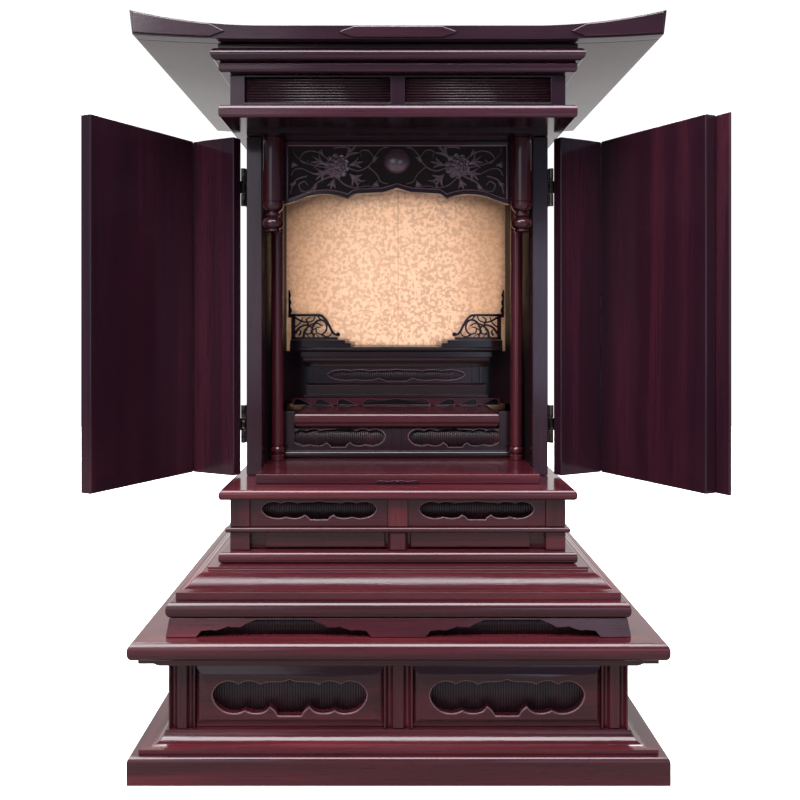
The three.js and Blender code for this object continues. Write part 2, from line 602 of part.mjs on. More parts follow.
// The pierced fence at one end of the altar top: a post, rails that sweep down to a scroll, and foliage.
function fence(sign) {
  const z0 = 338.5;
  const rail = [[-109, 364.5], [-80.6, 364.5], [-77.4, 362.4], [-74.2, 358.8], [-71.1, 353.6], [-68.4, 348.3],
    [-65.8, 344.6], [-62.6, 343.4]];
  const strokes = [
    ribbon(rail, 2.6),
    ribbon([[-111.2, 339.9], [-62, 339.9]], 2.8),
    ribbon([[-109, z0], [-109, 366]], 4.4),
    ribbon(smooth([[-107, 345], [-102, 352], [-94, 355], [-88, 350], [-92, 345], [-97, 348]], 7), 1.8),
    ribbon(smooth([[-107, 362], [-100, 358], [-94, 355], [-87, 358], [-82, 364]], 5), 1.8),
    ribbon(smooth([[-88, 350], [-84, 358], [-78, 360], [-73, 355], [-74, 347], [-80, 343], [-85, 346], [-84, 352]], 9), 1.8),
    ribbon(smooth([[-80, 343], [-74, 341], [-69, 344], [-68.4, 348.3]], 3), 1.8),
  ];
  const ball = [];
  for (let step = 0; step < 8; step += 1) {
    const angle = (step / 8) * 2 * Math.PI;
    ball.push([-61.6 + 2.2 * Math.cos(angle), 344.2 + 2.2 * Math.sin(angle)]);
  }
  const crest = [[-114.2, 362], [-110.4, 362], [-111.4, 368], [-110.6, 371], [-112.2, 374], [-111, 378], [-112.4, 382],
    [-111.6, 386], [-113, 391], [-114.2, 391]];
  const pieces = [...strokes, ball, crest].map((points) => {
    return frontal(sign < 0 ? points : mirrored(points), 53, 56);
  });
  return join(...pieces);
}

function buildAltar() {
  buildLowerAltar();
  buildUpperAltar();
  place("altar_fence_left", fence(-1), darkLacquer());
  place("altar_fence_right", fence(1), darkLacquer());
}

// ---- Top -----------------------------------------------------------------------------------------

function buildFrieze() {
  const plate = roundedBoard(CORNICE_PLATE, 2.2, 3, 4.5);
  const header = box(-INNER_FLOOR.half, INNER_FLOOR.half, -HEADER.front, GOLD_Y + 3, HEADER.bottom, CORNICE_PLATE.bottom + 1);
  place("cornice_plate", join(plate, header));

  const { half, front, bottom, top, post } = FRIEZE;
  const walls = cut(
    box(-half, half, -front, BACK, bottom, top),
    box(-half + BOARD, half - BOARD, -front + BOARD, BACK - BOARD, bottom - 1, top + 1),
    box(post / 2, half - post, -front - 1, -front + BOARD + 1, bottom + 3.4, top - 2),
    box(-half + post, -post / 2, -front - 1, -front + BOARD + 1, bottom + 3.4, top - 2),
  );
  place("frieze_frame", walls);
  const [z0, z1] = [bottom + 3.4 + GAP, top - 2 - GAP];
  const slats = 9;
  const pitch = (z1 - z0) / slats;
  const face = -front + 2.6;
  const outline = [[face + 3.4, z0]];
  for (let slat = 0; slat < slats; slat += 1) {
    const z = z0 + slat * pitch;
    outline.push([face + 1.2, z], [face, z + pitch * 0.3], [face, z + pitch * 0.7]);
  }
  outline.push([face + 1.2, z1], [face + 3.4, z1]);
  for (const [side, sign] of [["left", -1], ["right", 1]]) {
    const [x0, x1] = [post / 2 + GAP, half - post - GAP].map((x) => x * sign).sort((a, b) => a - b);
    place(`frieze_slats_${side}`, lateral(outline.slice().reverse(), x0, x1), darkLacquer());
  }
}

const roofTop = (x) => 599.6 + 12.7 * (Math.max(Math.abs(x) - ROOF.flat, 0) / (ROOF.half - ROOF.flat)) ** 2;
const fasciaBottom = (x) => 588.3 + 4 * (Math.max(Math.abs(x) - ROOF.flat, 0) / (ROOF.half - ROOF.flat)) ** 2;

// The outline between a lower and an upper curve, from tip to tip, with raked ends.
function roofOutline(lower, upper) {
  const steps = 9;
  const bottomHalf = ROOF.half - ROOF.rake;
  const right = (reach, curve) => {
    const points = [];
    for (let step = 0; step <= steps; step += 1) {
      const x = ROOF.flat + ((reach - ROOF.flat) * step) / steps;
      points.push([x, curve(x)]);
    }
    return points;
  };
  const below = right(bottomHalf, lower);
  const above = right(ROOF.half, upper).reverse();
  return [...below, ...above, ...mirrored(above), ...mirrored(below)];
}

// A cartouche on the fascia: the band between the fascia's curves, pointed at one or both ends.
function cartouche(from, to, pointedEnd) {
  const margin = 1.1;
  const [start, stop] = [from + 12, pointedEnd ? to - 12 : to];
  const xs = [0, 0.25, 0.5, 0.75, 1].map((t) => start + (stop - start) * t);
  const middle = (x) => (roofTop(x) + fasciaBottom(x)) / 2;
  const outline = [[from, middle(from)]];
  xs.forEach((x) => outline.push([x, fasciaBottom(x) + margin]));
  if (pointedEnd) outline.push([to, middle(to)]);
  xs.slice().reverse().forEach((x) => outline.push([x, roofTop(x) - margin]));
  return outline;
}

function buildRoof() {
  const rings = [
    ...roundedProfile({ half: 149.2, front: 154.7, bottom: FRIEZE.top + GAP, top: 573.2 }, 2, 3, 3),
    ...roundedProfile({ half: 155.1, front: 160.6, bottom: 573.2, top: 583.7 }, 5, 5.2, 5.2),
    ...roundedProfile({ half: 149.5, front: 155.3, bottom: 583.7, top: 588 }, 1, 0, 2),
  ];
  place("roof_cornice", moulding(rings));
  place("roof_board", frontal(roofOutline(fasciaBottom, roofTop), -ROOF.slabFront, BACK));
  const board = frontal(roofOutline(fasciaBottom, roofTop), -ROOF.fasciaFront, -ROOF.fasciaBack);
  const corner = cartouche(142, ROOF.half - 6, false);
  const raised = [cartouche(-48.3, 48.3, true), corner, mirrored(corner)]
    .map((outline) => frontal(outline, -ROOF.fasciaFront - 1.6, -ROOF.fasciaFront + 1));
  place("roof_fascia", join(board, ...raised));
}

// ---- Doors and hinges ----------------------------------------------------------------------------

// One half of an outside butt hinge, in the closed position on the right. The case half carries the two
// end knuckles and the pin, the door half the bored middle knuckle.
function hingeHalf(sign, z0, onCase) {
  const third = PIN.height / 3;
  const plateX = [CASE.half + GAP, CASE.half + GAP + PIN.plate];
  const barrel = (radius, from, to) => {
    const cylinder = new THREE.CylinderGeometry(radius, radius, to - from, 10);
    return cylinder.rotateX(Math.PI / 2).translate(PIN.x, PIN.y, z0 + (from + to) / 2);
  };
  const plate = (y0, y1, from, to) => box(...plateX, Math.min(y0, y1), Math.max(y0, y1), z0 + from, z0 + to);
  const clear = PIN.knuckle + GAP;
  let half;
  if (onCase) {
    const [low, high] = [[0, third - GAP / 2], [2 * third + GAP / 2, PIN.height]];
    half = join(
      plate(PIN.y + clear, PIN.y + PIN.leaf, 0, PIN.height),
      plate(PIN.y, PIN.y + clear + 1, ...low),
      plate(PIN.y, PIN.y + clear + 1, ...high),
      barrel(PIN.knuckle, ...low),
      barrel(PIN.knuckle, ...high),
      barrel(PIN.radius, 1, PIN.height - 1),
    );
  } else {
    const span = [third + GAP / 2, 2 * third - GAP / 2];
    const whole = join(
      plate(PIN.y - clear, PIN.y - PIN.leaf, 0, PIN.height),
      plate(PIN.y, PIN.y - clear - 1, ...span),
      barrel(PIN.knuckle, ...span),
    );
    half = cut(whole, barrel(PIN.radius + GAP, 0, PIN.height));
  }
  if (sign > 0) return half;
  return geometryOf(solid(half).mirror([1, 0, 0]));
}

// A door is a side leaf and a front leaf, mitred at the corner, here drawn closed and then swung open.
function buildDoor(side, sign) {
  const swing = new THREE.Group();
  swing.position.set(PIN.x * sign, PIN.y, 0);
  swing.rotation.z = THREE.MathUtils.degToRad(DOOR.openDegrees) * sign;
  const closed = new THREE.Group();
  closed.position.set(-PIN.x * sign, -PIN.y, 0);
  swing.add(closed);
  cabinet.add(swing);

  const { thick, sideLeaf, bottom, top } = DOOR;
  const hingeEdge = -CASE.front - 0.8;
  const outerY = hingeEdge - sideLeaf;
  const joint = GAP / 2;
  const mitred = (points) => {
    const outline = points.map(([x, y]) => [x * sign, y]);
    return standing(sign > 0 ? outline : outline.reverse(), bottom, top);
  };
  const half = CASE.half;
  place(`door_${side}_side_leaf`, mitred([
    [half - thick, hingeEdge], [half - thick, outerY + thick + joint], [half, outerY + joint], [half, hingeEdge],
  ]), lacquer(), closed);
  place(`door_${side}_front_leaf`, mitred([
    [0.4, outerY], [half - joint, outerY], [half - thick - joint, outerY + thick], [0.4, outerY + thick],
  ]), lacquer(), closed);
  if (side === "right") {
    place("door_astragal", box(-13.4, 8, outerY - 3, outerY - GAP, bottom, top), lacquer(), closed);
  }
  HINGE_BOTTOMS.forEach((z0, index) => {
    const level = index === 0 ? "lower" : "upper";
    place(`hinge_${side}_${level}_case_half`, hingeHalf(sign, z0, true), hingeMetal());
    place(`hinge_${side}_${level}_door_half`, hingeHalf(sign, z0, false), hingeMetal(), closed);
  });
}

buildPlinth();
buildBaseBox();
buildShelf();
buildApron();
buildStandTop();
buildNeck();
buildFloors();
buildCase();
buildTransom();
buildTurnedWork();
buildAltar();
buildFrieze();
buildRoof();
buildDoor("left", -1);
buildDoor("right", 1);

export default cabinet;
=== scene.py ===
"""A household altar cabinet in dark lacquered rosewood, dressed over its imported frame.

Sizes inside the classes are in millimetres, as a cabinet maker reads them, and turn into metres when a
mesh is made. X runs to the right, Y to the back and Z up.
"""

import logging
import math
from dataclasses import dataclass, field
from enum import Enum
from typing import Callable, Iterable, Optional, Sequence, Union

import bmesh
import bpy
import numpy as np
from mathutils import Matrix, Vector


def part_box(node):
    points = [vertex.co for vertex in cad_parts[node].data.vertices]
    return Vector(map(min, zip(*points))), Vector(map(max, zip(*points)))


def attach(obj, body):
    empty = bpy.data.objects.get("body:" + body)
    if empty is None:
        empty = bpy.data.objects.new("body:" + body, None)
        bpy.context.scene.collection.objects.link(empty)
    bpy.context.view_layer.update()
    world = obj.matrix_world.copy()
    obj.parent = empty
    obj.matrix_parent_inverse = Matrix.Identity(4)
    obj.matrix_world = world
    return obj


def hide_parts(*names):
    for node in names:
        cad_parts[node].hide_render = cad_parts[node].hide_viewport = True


MM = 0.001
Point2 = tuple[float, float]
Point3 = tuple[float, float, float]
Colour = tuple[float, float, float]
Number = Union["Wire", float]
Tone = Union["Wire", Colour]
log = logging.getLogger("altar_cabinet")

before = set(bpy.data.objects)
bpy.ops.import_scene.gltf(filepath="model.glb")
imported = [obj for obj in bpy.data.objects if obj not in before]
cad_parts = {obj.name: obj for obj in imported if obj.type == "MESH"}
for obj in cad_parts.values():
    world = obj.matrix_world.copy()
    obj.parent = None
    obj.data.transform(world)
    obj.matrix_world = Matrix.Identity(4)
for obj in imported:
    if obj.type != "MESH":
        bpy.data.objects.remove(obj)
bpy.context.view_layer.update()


def node_box(node: str) -> tuple[Vector, Vector]:
    """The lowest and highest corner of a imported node, in millimetres."""
    low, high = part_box(node)
    return low / MM, high / MM


# ---- Shader maths --------------------------------------------------------------------------------


class Wire:
    """A number or vector inside a node tree that takes part in Python arithmetic."""

    def __init__(self, tree: bpy.types.NodeTree, socket: bpy.types.NodeSocket) -> None:
        """Wraps an output socket.

        Args:
            tree: The node tree that holds the socket.
            socket: The output that the value comes from.
        """
        self.tree = tree
        self.socket = socket

    def _maths(self, operation: str, *values: Number) -> "Wire":
        """A Math node fed with these values."""
        return Board(self.tree).node("ShaderNodeMath", {"operation": operation}, dict(enumerate(values)))

    def __add__(self, other: Number) -> "Wire":
        """The sum."""
        return self._maths("ADD", self, other)

    def __sub__(self, other: Number) -> "Wire":
        """The difference."""
        return self._maths("SUBTRACT", self, other)

    def __rsub__(self, other: float) -> "Wire":
        """The difference from a plain number."""
        return self._maths("SUBTRACT", other, self)

    def __mul__(self, other: Number) -> "Wire":
        """The product."""
        return self._maths("MULTIPLY", self, other)

    __radd__ = __add__
    __rmul__ = __mul__

    def __gt__(self, other: Number) -> "Wire":
        """One where this value is the greater, and zero elsewhere."""
        return self._maths("GREATER_THAN", self, other)

    def size(self) -> "Wire":
        """The absolute value."""
        return self._maths("ABSOLUTE", self)

    def band(self, low: float, high: float) -> "Wire":
        """A smooth step.

        Args:
            low: Where it is zero.
            high: Where it is one.

        Returns:
            The step.
        """
        settings = {"interpolation_type": "SMOOTHSTEP"}
        inputs = {"Value": self, "From Min": low, "From Max": high}
        return Board(self.tree).node("ShaderNodeMapRange", settings, inputs)


class Board:
    """A node tree being wired up."""

    def __init__(self, tree: bpy.types.NodeTree) -> None:
        """Opens a tree for wiring."""
        self.tree = tree

    def node(self, kind: str, settings: dict, inputs: dict, output: Union[int, str] = 0) -> Wire:
        """Adds a node.

        Args:
            kind: The node's type name.
            settings: Properties to set before its sockets are filled.
            inputs: Values or wires by socket name or index.
            output: The output socket wanted, by name or index.

        Returns:
            The chosen output.
        """
        made = self.tree.nodes.new(kind)
        for key, value in settings.items():
            if key == "stops":
                self._set_stops(made.color_ramp, value)
            else:
                setattr(made, key, value)
        for key, value in inputs.items():
            socket = made.inputs[key]
            if isinstance(value, Wire):
                self.tree.links.new(value.socket, socket)
            else:
                socket.default_value = value
        return Wire(self.tree, made.outputs[output])

    @staticmethod
    def _set_stops(ramp: bpy.types.ColorRamp, stops: Sequence[tuple[float, Colour]]) -> None:
        """Fills a colour ramp.

        Args:
            ramp: The ramp.
            stops: Its positions and colours.
        """
        while len(ramp.elements) > len(stops):
            ramp.elements.remove(ramp.elements[-1])
        while len(ramp.elements) < len(stops):
            ramp.elements.new(1.0)
        for element, (position, colour) in zip(ramp.elements, stops):
            element.position = position
            element.color = (*colour, 1.0)

    def mix(self, factor: Number, first: Tone, second: Tone) -> Wire:
        """A colour between two colours."""
        inputs = {0: factor, 6: self._rgba(first), 7: self._rgba(second)}
        return self.node("ShaderNodeMix", {"data_type": "RGBA"}, inputs, 2)

    def blend_vectors(self, factor: Wire, first: Wire, second: Wire) -> Wire:
        """A vector between two vectors."""
        return self.node("ShaderNodeMix", {"data_type": "VECTOR"}, {0: factor, 4: first, 5: second}, 1)

    @staticmethod
    def _rgba(colour: Tone) -> Union[Wire, tuple]:
        """A colour with its alpha, or the wire as it is."""
        return colour if isinstance(colour, Wire) else (*colour, 1.0)

    def point(self) -> Wire:
        """The shaded point in object coordinates."""
        return self.node("ShaderNodeTexCoord", {}, {}, "Object")

    def mapped(self, point: Wire, scale: Point3, shift: Point3 = (0.0, 0.0, 0.0)) -> Wire:
        """A point scaled and moved."""
        return self.node("ShaderNodeMapping", {}, {"Vector": point, "Location": shift, "Scale": scale})

    def noise(self, vector: Wire, scale: float, detail: float, distortion: float = 0.0) -> Wire:
        """Fractal noise.

        Args:
            vector: The coordinates.
            scale: How fine it is.
            detail: How many octaves.
            distortion: How far it is warped.

        Returns:
            A value from zero to one.
        """
        inputs = {"Vector": vector, "Scale": scale, "Detail": detail, "Roughness": 0.55,
                  "Distortion": distortion}
        return self.node("ShaderNodeTexNoise", {}, inputs, "Fac")

    def bump(self, strength: float, distance: float, height: Wire) -> Wire:
        """A surface normal from a height."""
        return self.node("ShaderNodeBump", {}, {"Strength": strength, "Distance": distance, "Height": height})


# ---- Finishes ------------------------------------------------------------------------------------


class Grain(Enum):
    """The way the wood's grain runs in a piece."""

    ALONG_X = (0, 1, 2)
    ALONG_Y = (1, 0, 2)
    ALONG_Z = (2, 0, 1)
    MITRED = (0, 2, 1)


class Finish:
    """What every finish has in common: one named material, made once."""

    name: str
    slot: str

    def material(self) -> bpy.types.Material:
        """The finish as a material.

        Returns:
            The material, built on first use.
        """
        found = bpy.data.materials.get(self.name)
        if found:
            return found
        made = bpy.data.materials.new(self.name)
        made.use_nodes = True
        made.node_tree.nodes.clear()
        board = Board(made.node_tree)
        shader = self.shader(board)
        output = made.node_tree.nodes.new("ShaderNodeOutputMaterial")
        made.node_tree.links.new(shader.socket, output.inputs["Surface"])
        return made

    def shader(self, board: Board) -> Wire:
        """The finish's surface shader, which each finish supplies."""
        raise NotImplementedError


@dataclass(frozen=True)
class Rosewood(Finish):
    """Straight-grained rosewood under a clear lacquer."""

    name: str
    grain: Grain
    seed: float = 0.0
    mitre: float = 0.0
    deep: Colour = (0.011, 0.0035, 0.0055)
    heart: Colour = (0.036, 0.0064, 0.0105)
    bright: Colour = (0.095, 0.0145, 0.0210)
    roughness: float = 0.13
    slot: str = "rosewood_lacquer"
    gloss: float = 1.48

    BACK_FACE = 0.2035

    def _stretch(self, board: Board, point: Wire, grain: Grain, along: float, across: float) -> Wire:
        """Squeezes coordinates across the grain.

        Args:
            board: The tree to wire.
            point: Object coordinates.
            grain: The way that the grain runs.
            along: The scale along the grain.
            across: The scale across it.

        Returns:
            The coordinates, moved to the piece's own part of the board.
        """
        scale = [across] * 3
        scale[grain.value[0]] = along
        return board.mapped(point, tuple(scale), tuple(shift * self.seed for shift in (0.37, 0.61, 0.23)))

    def _grain_space(self, board: Board, point: Wire, along: float, across: float) -> Wire:
        """Coordinates that follow the grain.

        Args:
            board: The tree to wire.
            point: Object coordinates.
            along: The scale along the grain.
            across: The scale across it.

        Returns:
            The coordinates, which turn at the corner mitres of a frame moulding but not on its back.
        """
        if self.grain is not Grain.MITRED:
            return self._stretch(board, point, self.grain, along, across)
        split = {name: board.node("ShaderNodeSeparateXYZ", {}, {0: point}, name) for name in "XY"}
        on_side = ((split["X"].size() + split["Y"]) > self.mitre) * (1 - (split["Y"] > self.BACK_FACE))
        front = self._stretch(board, point, Grain.ALONG_X, along, across)
        side = self._stretch(board, point, Grain.ALONG_Y, along, across)
        return board.blend_vectors(on_side, front, side)

    def shader(self, board: Board) -> Wire:
        """Broad bands of heartwood, fine streaks and pores, all under a clear coat.

        Args:
            board: The tree to wire.

        Returns:
            The Principled shader.
        """
        point = board.point()
        bands = board.noise(self._grain_space(board, point, 1.6, 26.0), 1.0, 3.0, 0.5)
        streaks = board.noise(self._grain_space(board, point, 7.0, 330.0), 1.0, 4.0, 0.25)
        pores = board.noise(self._grain_space(board, point, 60.0, 1500.0), 1.0, 2.0)
        smears = board.noise(point, 9.0, 3.0)
        stops = [(0.30, self.deep), (0.52, self.heart), (0.74, self.bright)]
        base = board.node("ShaderNodeValToRGB", {"stops": stops}, {"Fac": bands * 0.72 + streaks * 0.28})
        lined = board.mix(streaks.band(0.50, 0.66) * 0.55, base, self.deep)
        colour = board.mix(pores.band(0.60, 0.70) * 0.60, lined, (0.006, 0.003, 0.004))
        rough = smears.band(0.35, 0.75) * 0.08 + streaks * 0.03 + self.roughness - 0.02
        ripple = board.noise(point, 170.0, 1.0) * 0.5 + pores.band(0.58, 0.70) * -0.35
        return board.node("ShaderNodeBsdfPrincipled", {}, {
            "Base Color": colour, "Roughness": rough, "IOR": self.gloss,
            "Normal": board.bump(0.10, 0.0003, ripple)})


@dataclass(frozen=True)
class GoldPaper(Finish):
    """Fine-grained gold paper laid in two sheets on the back panel."""

    name: str = "flecked_gold_paper"
    seam_x: float = 0.0029
    slot: str = "gold_paper"

    def shader(self, board: Board) -> Wire:
        """Flecked gold with a faint seam, with painted shade that darkens and warms it towards both sides.

        Args:
            board: The tree to wire.

        Returns:
            The Principled shader.
        """
        point = board.point()
        across = board.node("ShaderNodeSeparateXYZ", {}, {0: point}, "X")
        fleck = board.noise(point, 250.0, 4.0)
        fibre = board.noise(board.mapped(point, (260.0, 260.0, 90.0)), 1.0, 3.0)
        cloud = board.noise(point, 7.0, 2.0)
        gold = board.mix(fleck.band(0.42, 0.58), (0.54, 0.35, 0.262), (0.82, 0.575, 0.45))
        gold = board.mix(fibre.band(0.55, 0.75) * 0.35, gold, (0.55, 0.33, 0.19))
        gold = board.mix(cloud.band(0.35, 0.65) * 0.25, gold, (0.94, 0.70, 0.51))
        # Painted shade: the gold darkens and warms towards both side walls of the case.
        rim = across.size().band(0.055, 0.118)
        gold = board.mix(rim * 0.55, gold, (0.60, 0.355, 0.205))
        seam = 1 - (across - self.seam_x).size().band(0.0002, 0.0008)
        colour = board.mix(seam * 0.6, gold, (0.40, 0.22, 0.11))
        return board.node("ShaderNodeBsdfPrincipled", {}, {
            "Base Color": colour, "Roughness": 0.62 - fleck * 0.15, "Metallic": 0.12,
            "Normal": board.bump(0.5, 0.0002, fleck + fibre * 0.5)})


@dataclass(frozen=True)
class HingeMetal(Finish):
    """Brass that has been darkened, worn bright where it rubs."""

    name: str
    dark: Colour
    bright: Colour
    roughness: float = 0.34
    worn: float = 0.42
    slot: str = "hinge_brass"

    def shader(self, board: Board) -> Wire:
        """Patchy brown patina over brass.

        Args:
            board: The tree to wire.

        Returns:
            The Principled shader.
        """
        point = board.point()
        patches = board.noise(point, 260.0, 4.0)
        scratches = board.noise(board.mapped(point, (900.0, 900.0, 60.0)), 1.0, 2.0)
        colour = board.mix(patches.band(self.worn, self.worn + 0.12), self.dark, self.bright)
        rough = patches * 0.20 + scratches * 0.10 + self.roughness - 0.12
        return board.node("ShaderNodeBsdfPrincipled", {}, {
            "Base Color": colour, "Roughness": rough, "Metallic": 0.95,
            "Normal": board.bump(0.2, 0.0001, scratches)})


class Cut(Enum):
    """The colour of a cut of wood, or of painted shade, as its deep, heart and bright tones."""

    DARK = ((0.009, 0.0035, 0.0065), (0.022, 0.0056, 0.0110), (0.060, 0.0112, 0.0200))
    # Painted shade: a darker copy of the wood for recesses, reeding and the inside of the case, which lie in
    # shadow.
    SHADOW = ((0.007, 0.0035, 0.005), (0.020, 0.0065, 0.009), (0.050, 0.011, 0.015))
    RED = ((0.015, 0.0036, 0.0054), (0.056, 0.0084, 0.0125), (0.140, 0.0195, 0.0260))


def rosewood(grain: Grain, seed: int = 0, cut: Cut = Cut.DARK) -> Rosewood:
    """The show finish, with one of a few cuts of wood."""
    name = f"rosewood_{cut.name.lower()}_{grain.name.lower()}_{seed}"
    return Rosewood(name, grain, float(seed), 0.0, *cut.value)


def painted_shade_wood() -> Rosewood:
    """Near-black matt wood for the sheets just inside the case sides: painted shade on walls that lie in
    shadow.
    """
    return Rosewood("dull_stain", Grain.ALONG_Z, 2.0, 0.0, (0.006, 0.004, 0.005), (0.011, 0.0075, 0.008),
                    (0.020, 0.013, 0.013), 0.50, "dark_lacquer", 1.14)


def painted_highlight_edge() -> Rosewood:
    """A lighter wood colour for rounded lips and rims: a painted highlight where those edges catch the light.
    """
    return Rosewood("rosewood_worn_edge", Grain.ALONG_X, 1.0, 0.0, (0.08, 0.040, 0.048), (0.16, 0.085, 0.095),
                    (0.25, 0.14, 0.15), 0.16)


def mitred(half: float, front: float, seed: int = 0, cut: Cut = Cut.RED) -> Rosewood:
    """The show finish on a moulding that turns the corners.

    Args:
        half: The moulding's half width in millimetres.
        front: The distance of its front from the origin in millimetres.
        seed: Which board the piece is cut from.
        cut: The colour of the wood.

    Returns:
        The finish.
    """
    name = f"rosewood_{cut.name.lower()}_mitred_{seed}_{round(half)}_{round(front)}"
    return Rosewood(name, Grain.MITRED, float(seed), (half - front) * MM, *cut.value)


DULL = 0.36
POLISHED = 0.13


def shadow_wood(grain: Grain, seed: int = 0, roughness: float = 0.22) -> Rosewood:
    """Near-black wood for the recesses and the inner altar: painted shade, a darker copy of the show wood for
    parts that lie in shadow.
    """
    name = f"shadow_wood_{grain.name.lower()}_{seed}_{round(roughness * 100)}"
    return Rosewood(name, grain, float(seed), 0.0, *Cut.SHADOW.value, roughness, "dark_lacquer")


PATINA = HingeMetal("hinge_patina", (0.014, 0.013, 0.014), (0.075, 0.062, 0.050))
BRASS = HingeMetal("hinge_knuckle_brass", (0.020, 0.018, 0.017), (0.42, 0.36, 0.27), 0.30, 0.56)


# ---- Mesh making ---------------------------------------------------------------------------------


@dataclass(frozen=True)
class Arris:
    """How far a piece's sharp edges are eased."""

    width: float = 0.6
    steps: int = 3
    angle: float = 32.0


SHARP_ANGLE = 50.0
FINE = Arris(0.5, 3)
PLAIN = Arris(0.8, 3)
FULL = Arris(1.2, 3)


NONE = Arris(0)
WELD = 1e-7
NODE_WELD = 4e-6
NODE_SLIVER = 2e-6
FLAT_ANGLE = 1.0


def into_scene(name: str, mesh: bpy.types.Mesh) -> bpy.types.Object:
    """Puts a mesh into the scene.

    Args:
        name: The new object's name.
        mesh: Its mesh.

    Returns:
        The object.
    """
    made = bpy.data.objects.new(name, mesh)
    bpy.context.scene.collection.objects.link(made)
    return made


@dataclass
class Draft:
    """Points in millimetres and faces gathered before they become one object."""

    points: list[Point3] = field(default_factory=list)
    faces: list[Sequence[int]] = field(default_factory=list)

    def add(self, points: Iterable[Point3], faces: Iterable[Sequence[int]]) -> None:
        """Appends a closed shell.

        Args:
            points: Its points.
            faces: Its faces, as places in those points.
        """
        start = len(self.points)
        self.points.extend(tuple(point) for point in points)
        self.faces.extend([start + index for index in face] for face in faces)

    def loft(self, rings: Sequence[Sequence[Point3]]) -> None:
        """A shell through rings of equal length, with flat ends.

        Args:
            rings: Closed rings in order; they run counter-clockwise seen from the last ring's side.
        """
        count = len(rings[0])
        faces: list[Sequence[int]] = [list(range(count))[::-1]]
        for level in range(len(rings) - 1):
            for side in range(count):
                first, second = level * count + side, level * count + (side + 1) % count
                faces.append([first, second, second + count, first + count])
        faces.append([(len(rings) - 1) * count + side for side in range(count)])
        self.add([point for ring in rings for point in ring], faces)

    def box(self, low: Point3, high: Point3) -> None:
        """A rectangular block between two corners."""
        (x0, y0, z0), (x1, y1, z1) = low, high
        self.loft([[(x0, y0, z), (x1, y0, z), (x1, y1, z), (x0, y1, z)] for z in (z0, z1)])

    def standing(self, outline: Sequence[Point2], z0: float, z1: float) -> None:
        """A plan outline raised from one height to another."""
        self.loft([[(x, y, z) for x, y in outline] for z in (z0, z1)])

    def frontal(self, outline: Sequence[Point2], y0: float, y1: float) -> None:
        """A front-view outline running from front to back."""
        self.loft([[(x, y, z) for x, z in outline] for y in (y1, y0)])

    def lathe(self, profile: Sequence[Point2], x: float, y: float, sides: int = 64) -> None:
        """A turned piece on an upright axis.

        Args:
            profile: Radius and height from the bottom up, neither end on the axis.
            x: The axis's place across.
            y: The axis's place in depth.
            sides: Steps around.
        """
        turn = [2 * math.pi * step / sides for step in range(sides)]
        self.loft([[(x + r * math.cos(a), y + r * math.sin(a), z) for a in turn] for r, z in profile])

    def build(self, name: str) -> bpy.types.Object:
        """The gathered shells as an object in the scene.

        Args:
            name: The object's name.

        Returns:
            The object, with its faces pointing out.
        """
        mesh = bpy.data.meshes.new(name)
        mesh.from_pydata([(x * MM, y * MM, z * MM) for x, y, z in self.points], [], self.faces)
        tidy = bmesh.new()
        tidy.from_mesh(mesh)
        bmesh.ops.remove_doubles(tidy, verts=tidy.verts, dist=WELD)
        bmesh.ops.recalc_face_normals(tidy, faces=tidy.faces)
        tidy.to_mesh(mesh)
        tidy.free()
        return into_scene(name, mesh)

    def piece(self, name: str, arris: Arris, finish: Finish, *nodes: str) -> bpy.types.Object:
        """The gathered shells as a finished piece of the cabinet.

        Args:
            name: The piece's name.
            arris: How its edges are eased.
            finish: Its finish.
            nodes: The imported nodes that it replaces.

        Returns:
            The piece.
        """
        return dress(ease(self.build(name), arris), finish, "cabinet", *nodes)


def settle(piece: bpy.types.Object) -> bpy.types.Object:
    """Turns a piece with modifiers into a plain mesh.

    Args:
        piece: The object whose modifiers are to be applied.

    Returns:
        The same object without modifiers.
    """
    bpy.context.view_layer.update()
    graph = bpy.context.evaluated_depsgraph_get()
    mesh = bpy.data.meshes.new_from_object(piece.evaluated_get(graph), depsgraph=graph)
    piece.modifiers.clear()
    old = piece.data
    piece.data = mesh
    if old.users == 0:
        bpy.data.meshes.remove(old)
    mesh.name = piece.name
    return piece


def ease(piece: bpy.types.Object, arris: Arris) -> bpy.types.Object:
    """Rounds a piece's sharp edges and keeps its flats flat in the light.

    Args:
        piece: The piece.
        arris: How far its edges are eased.

    Returns:
        The same piece, as a plain mesh.
    """
    if arris.width > 0:
        rounding = piece.modifiers.new("arris", "BEVEL")
        rounding.width = arris.width * MM
        rounding.segments = arris.steps
        rounding.limit_method = "ANGLE"
        rounding.angle_limit = math.radians(arris.angle)
        rounding.use_clamp_overlap = True
        settle(piece)
    for polygon in piece.data.polygons:
        polygon.use_smooth = True
    piece.data.set_sharp_from_angle(angle=math.radians(SHARP_ANGLE))
    flats = piece.modifiers.new("flats", "WEIGHTED_NORMAL")
    flats.weight = 90
    flats.keep_sharp = True
    return settle(piece)


def copy_of_node(node: str, name: str) -> bpy.types.Object:
    """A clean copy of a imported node.

    Args:
        node: The node's name.
        name: The copy's name.

    Returns:
        The copy, with its loose triangles merged and its flats made whole.
    """
    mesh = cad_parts[node].data.copy()
    tidy = bmesh.new()
    tidy.from_mesh(mesh)
    bmesh.ops.remove_doubles(tidy, verts=tidy.verts, dist=NODE_WELD)
    bmesh.ops.dissolve_degenerate(tidy, dist=NODE_SLIVER, edges=tidy.edges)
    flat = math.radians(FLAT_ANGLE)
    bmesh.ops.dissolve_limit(tidy, angle_limit=flat, verts=tidy.verts, edges=tidy.edges)
    tidy.to_mesh(mesh)
    tidy.free()
    mesh.materials.clear()
    return into_scene(name, mesh)


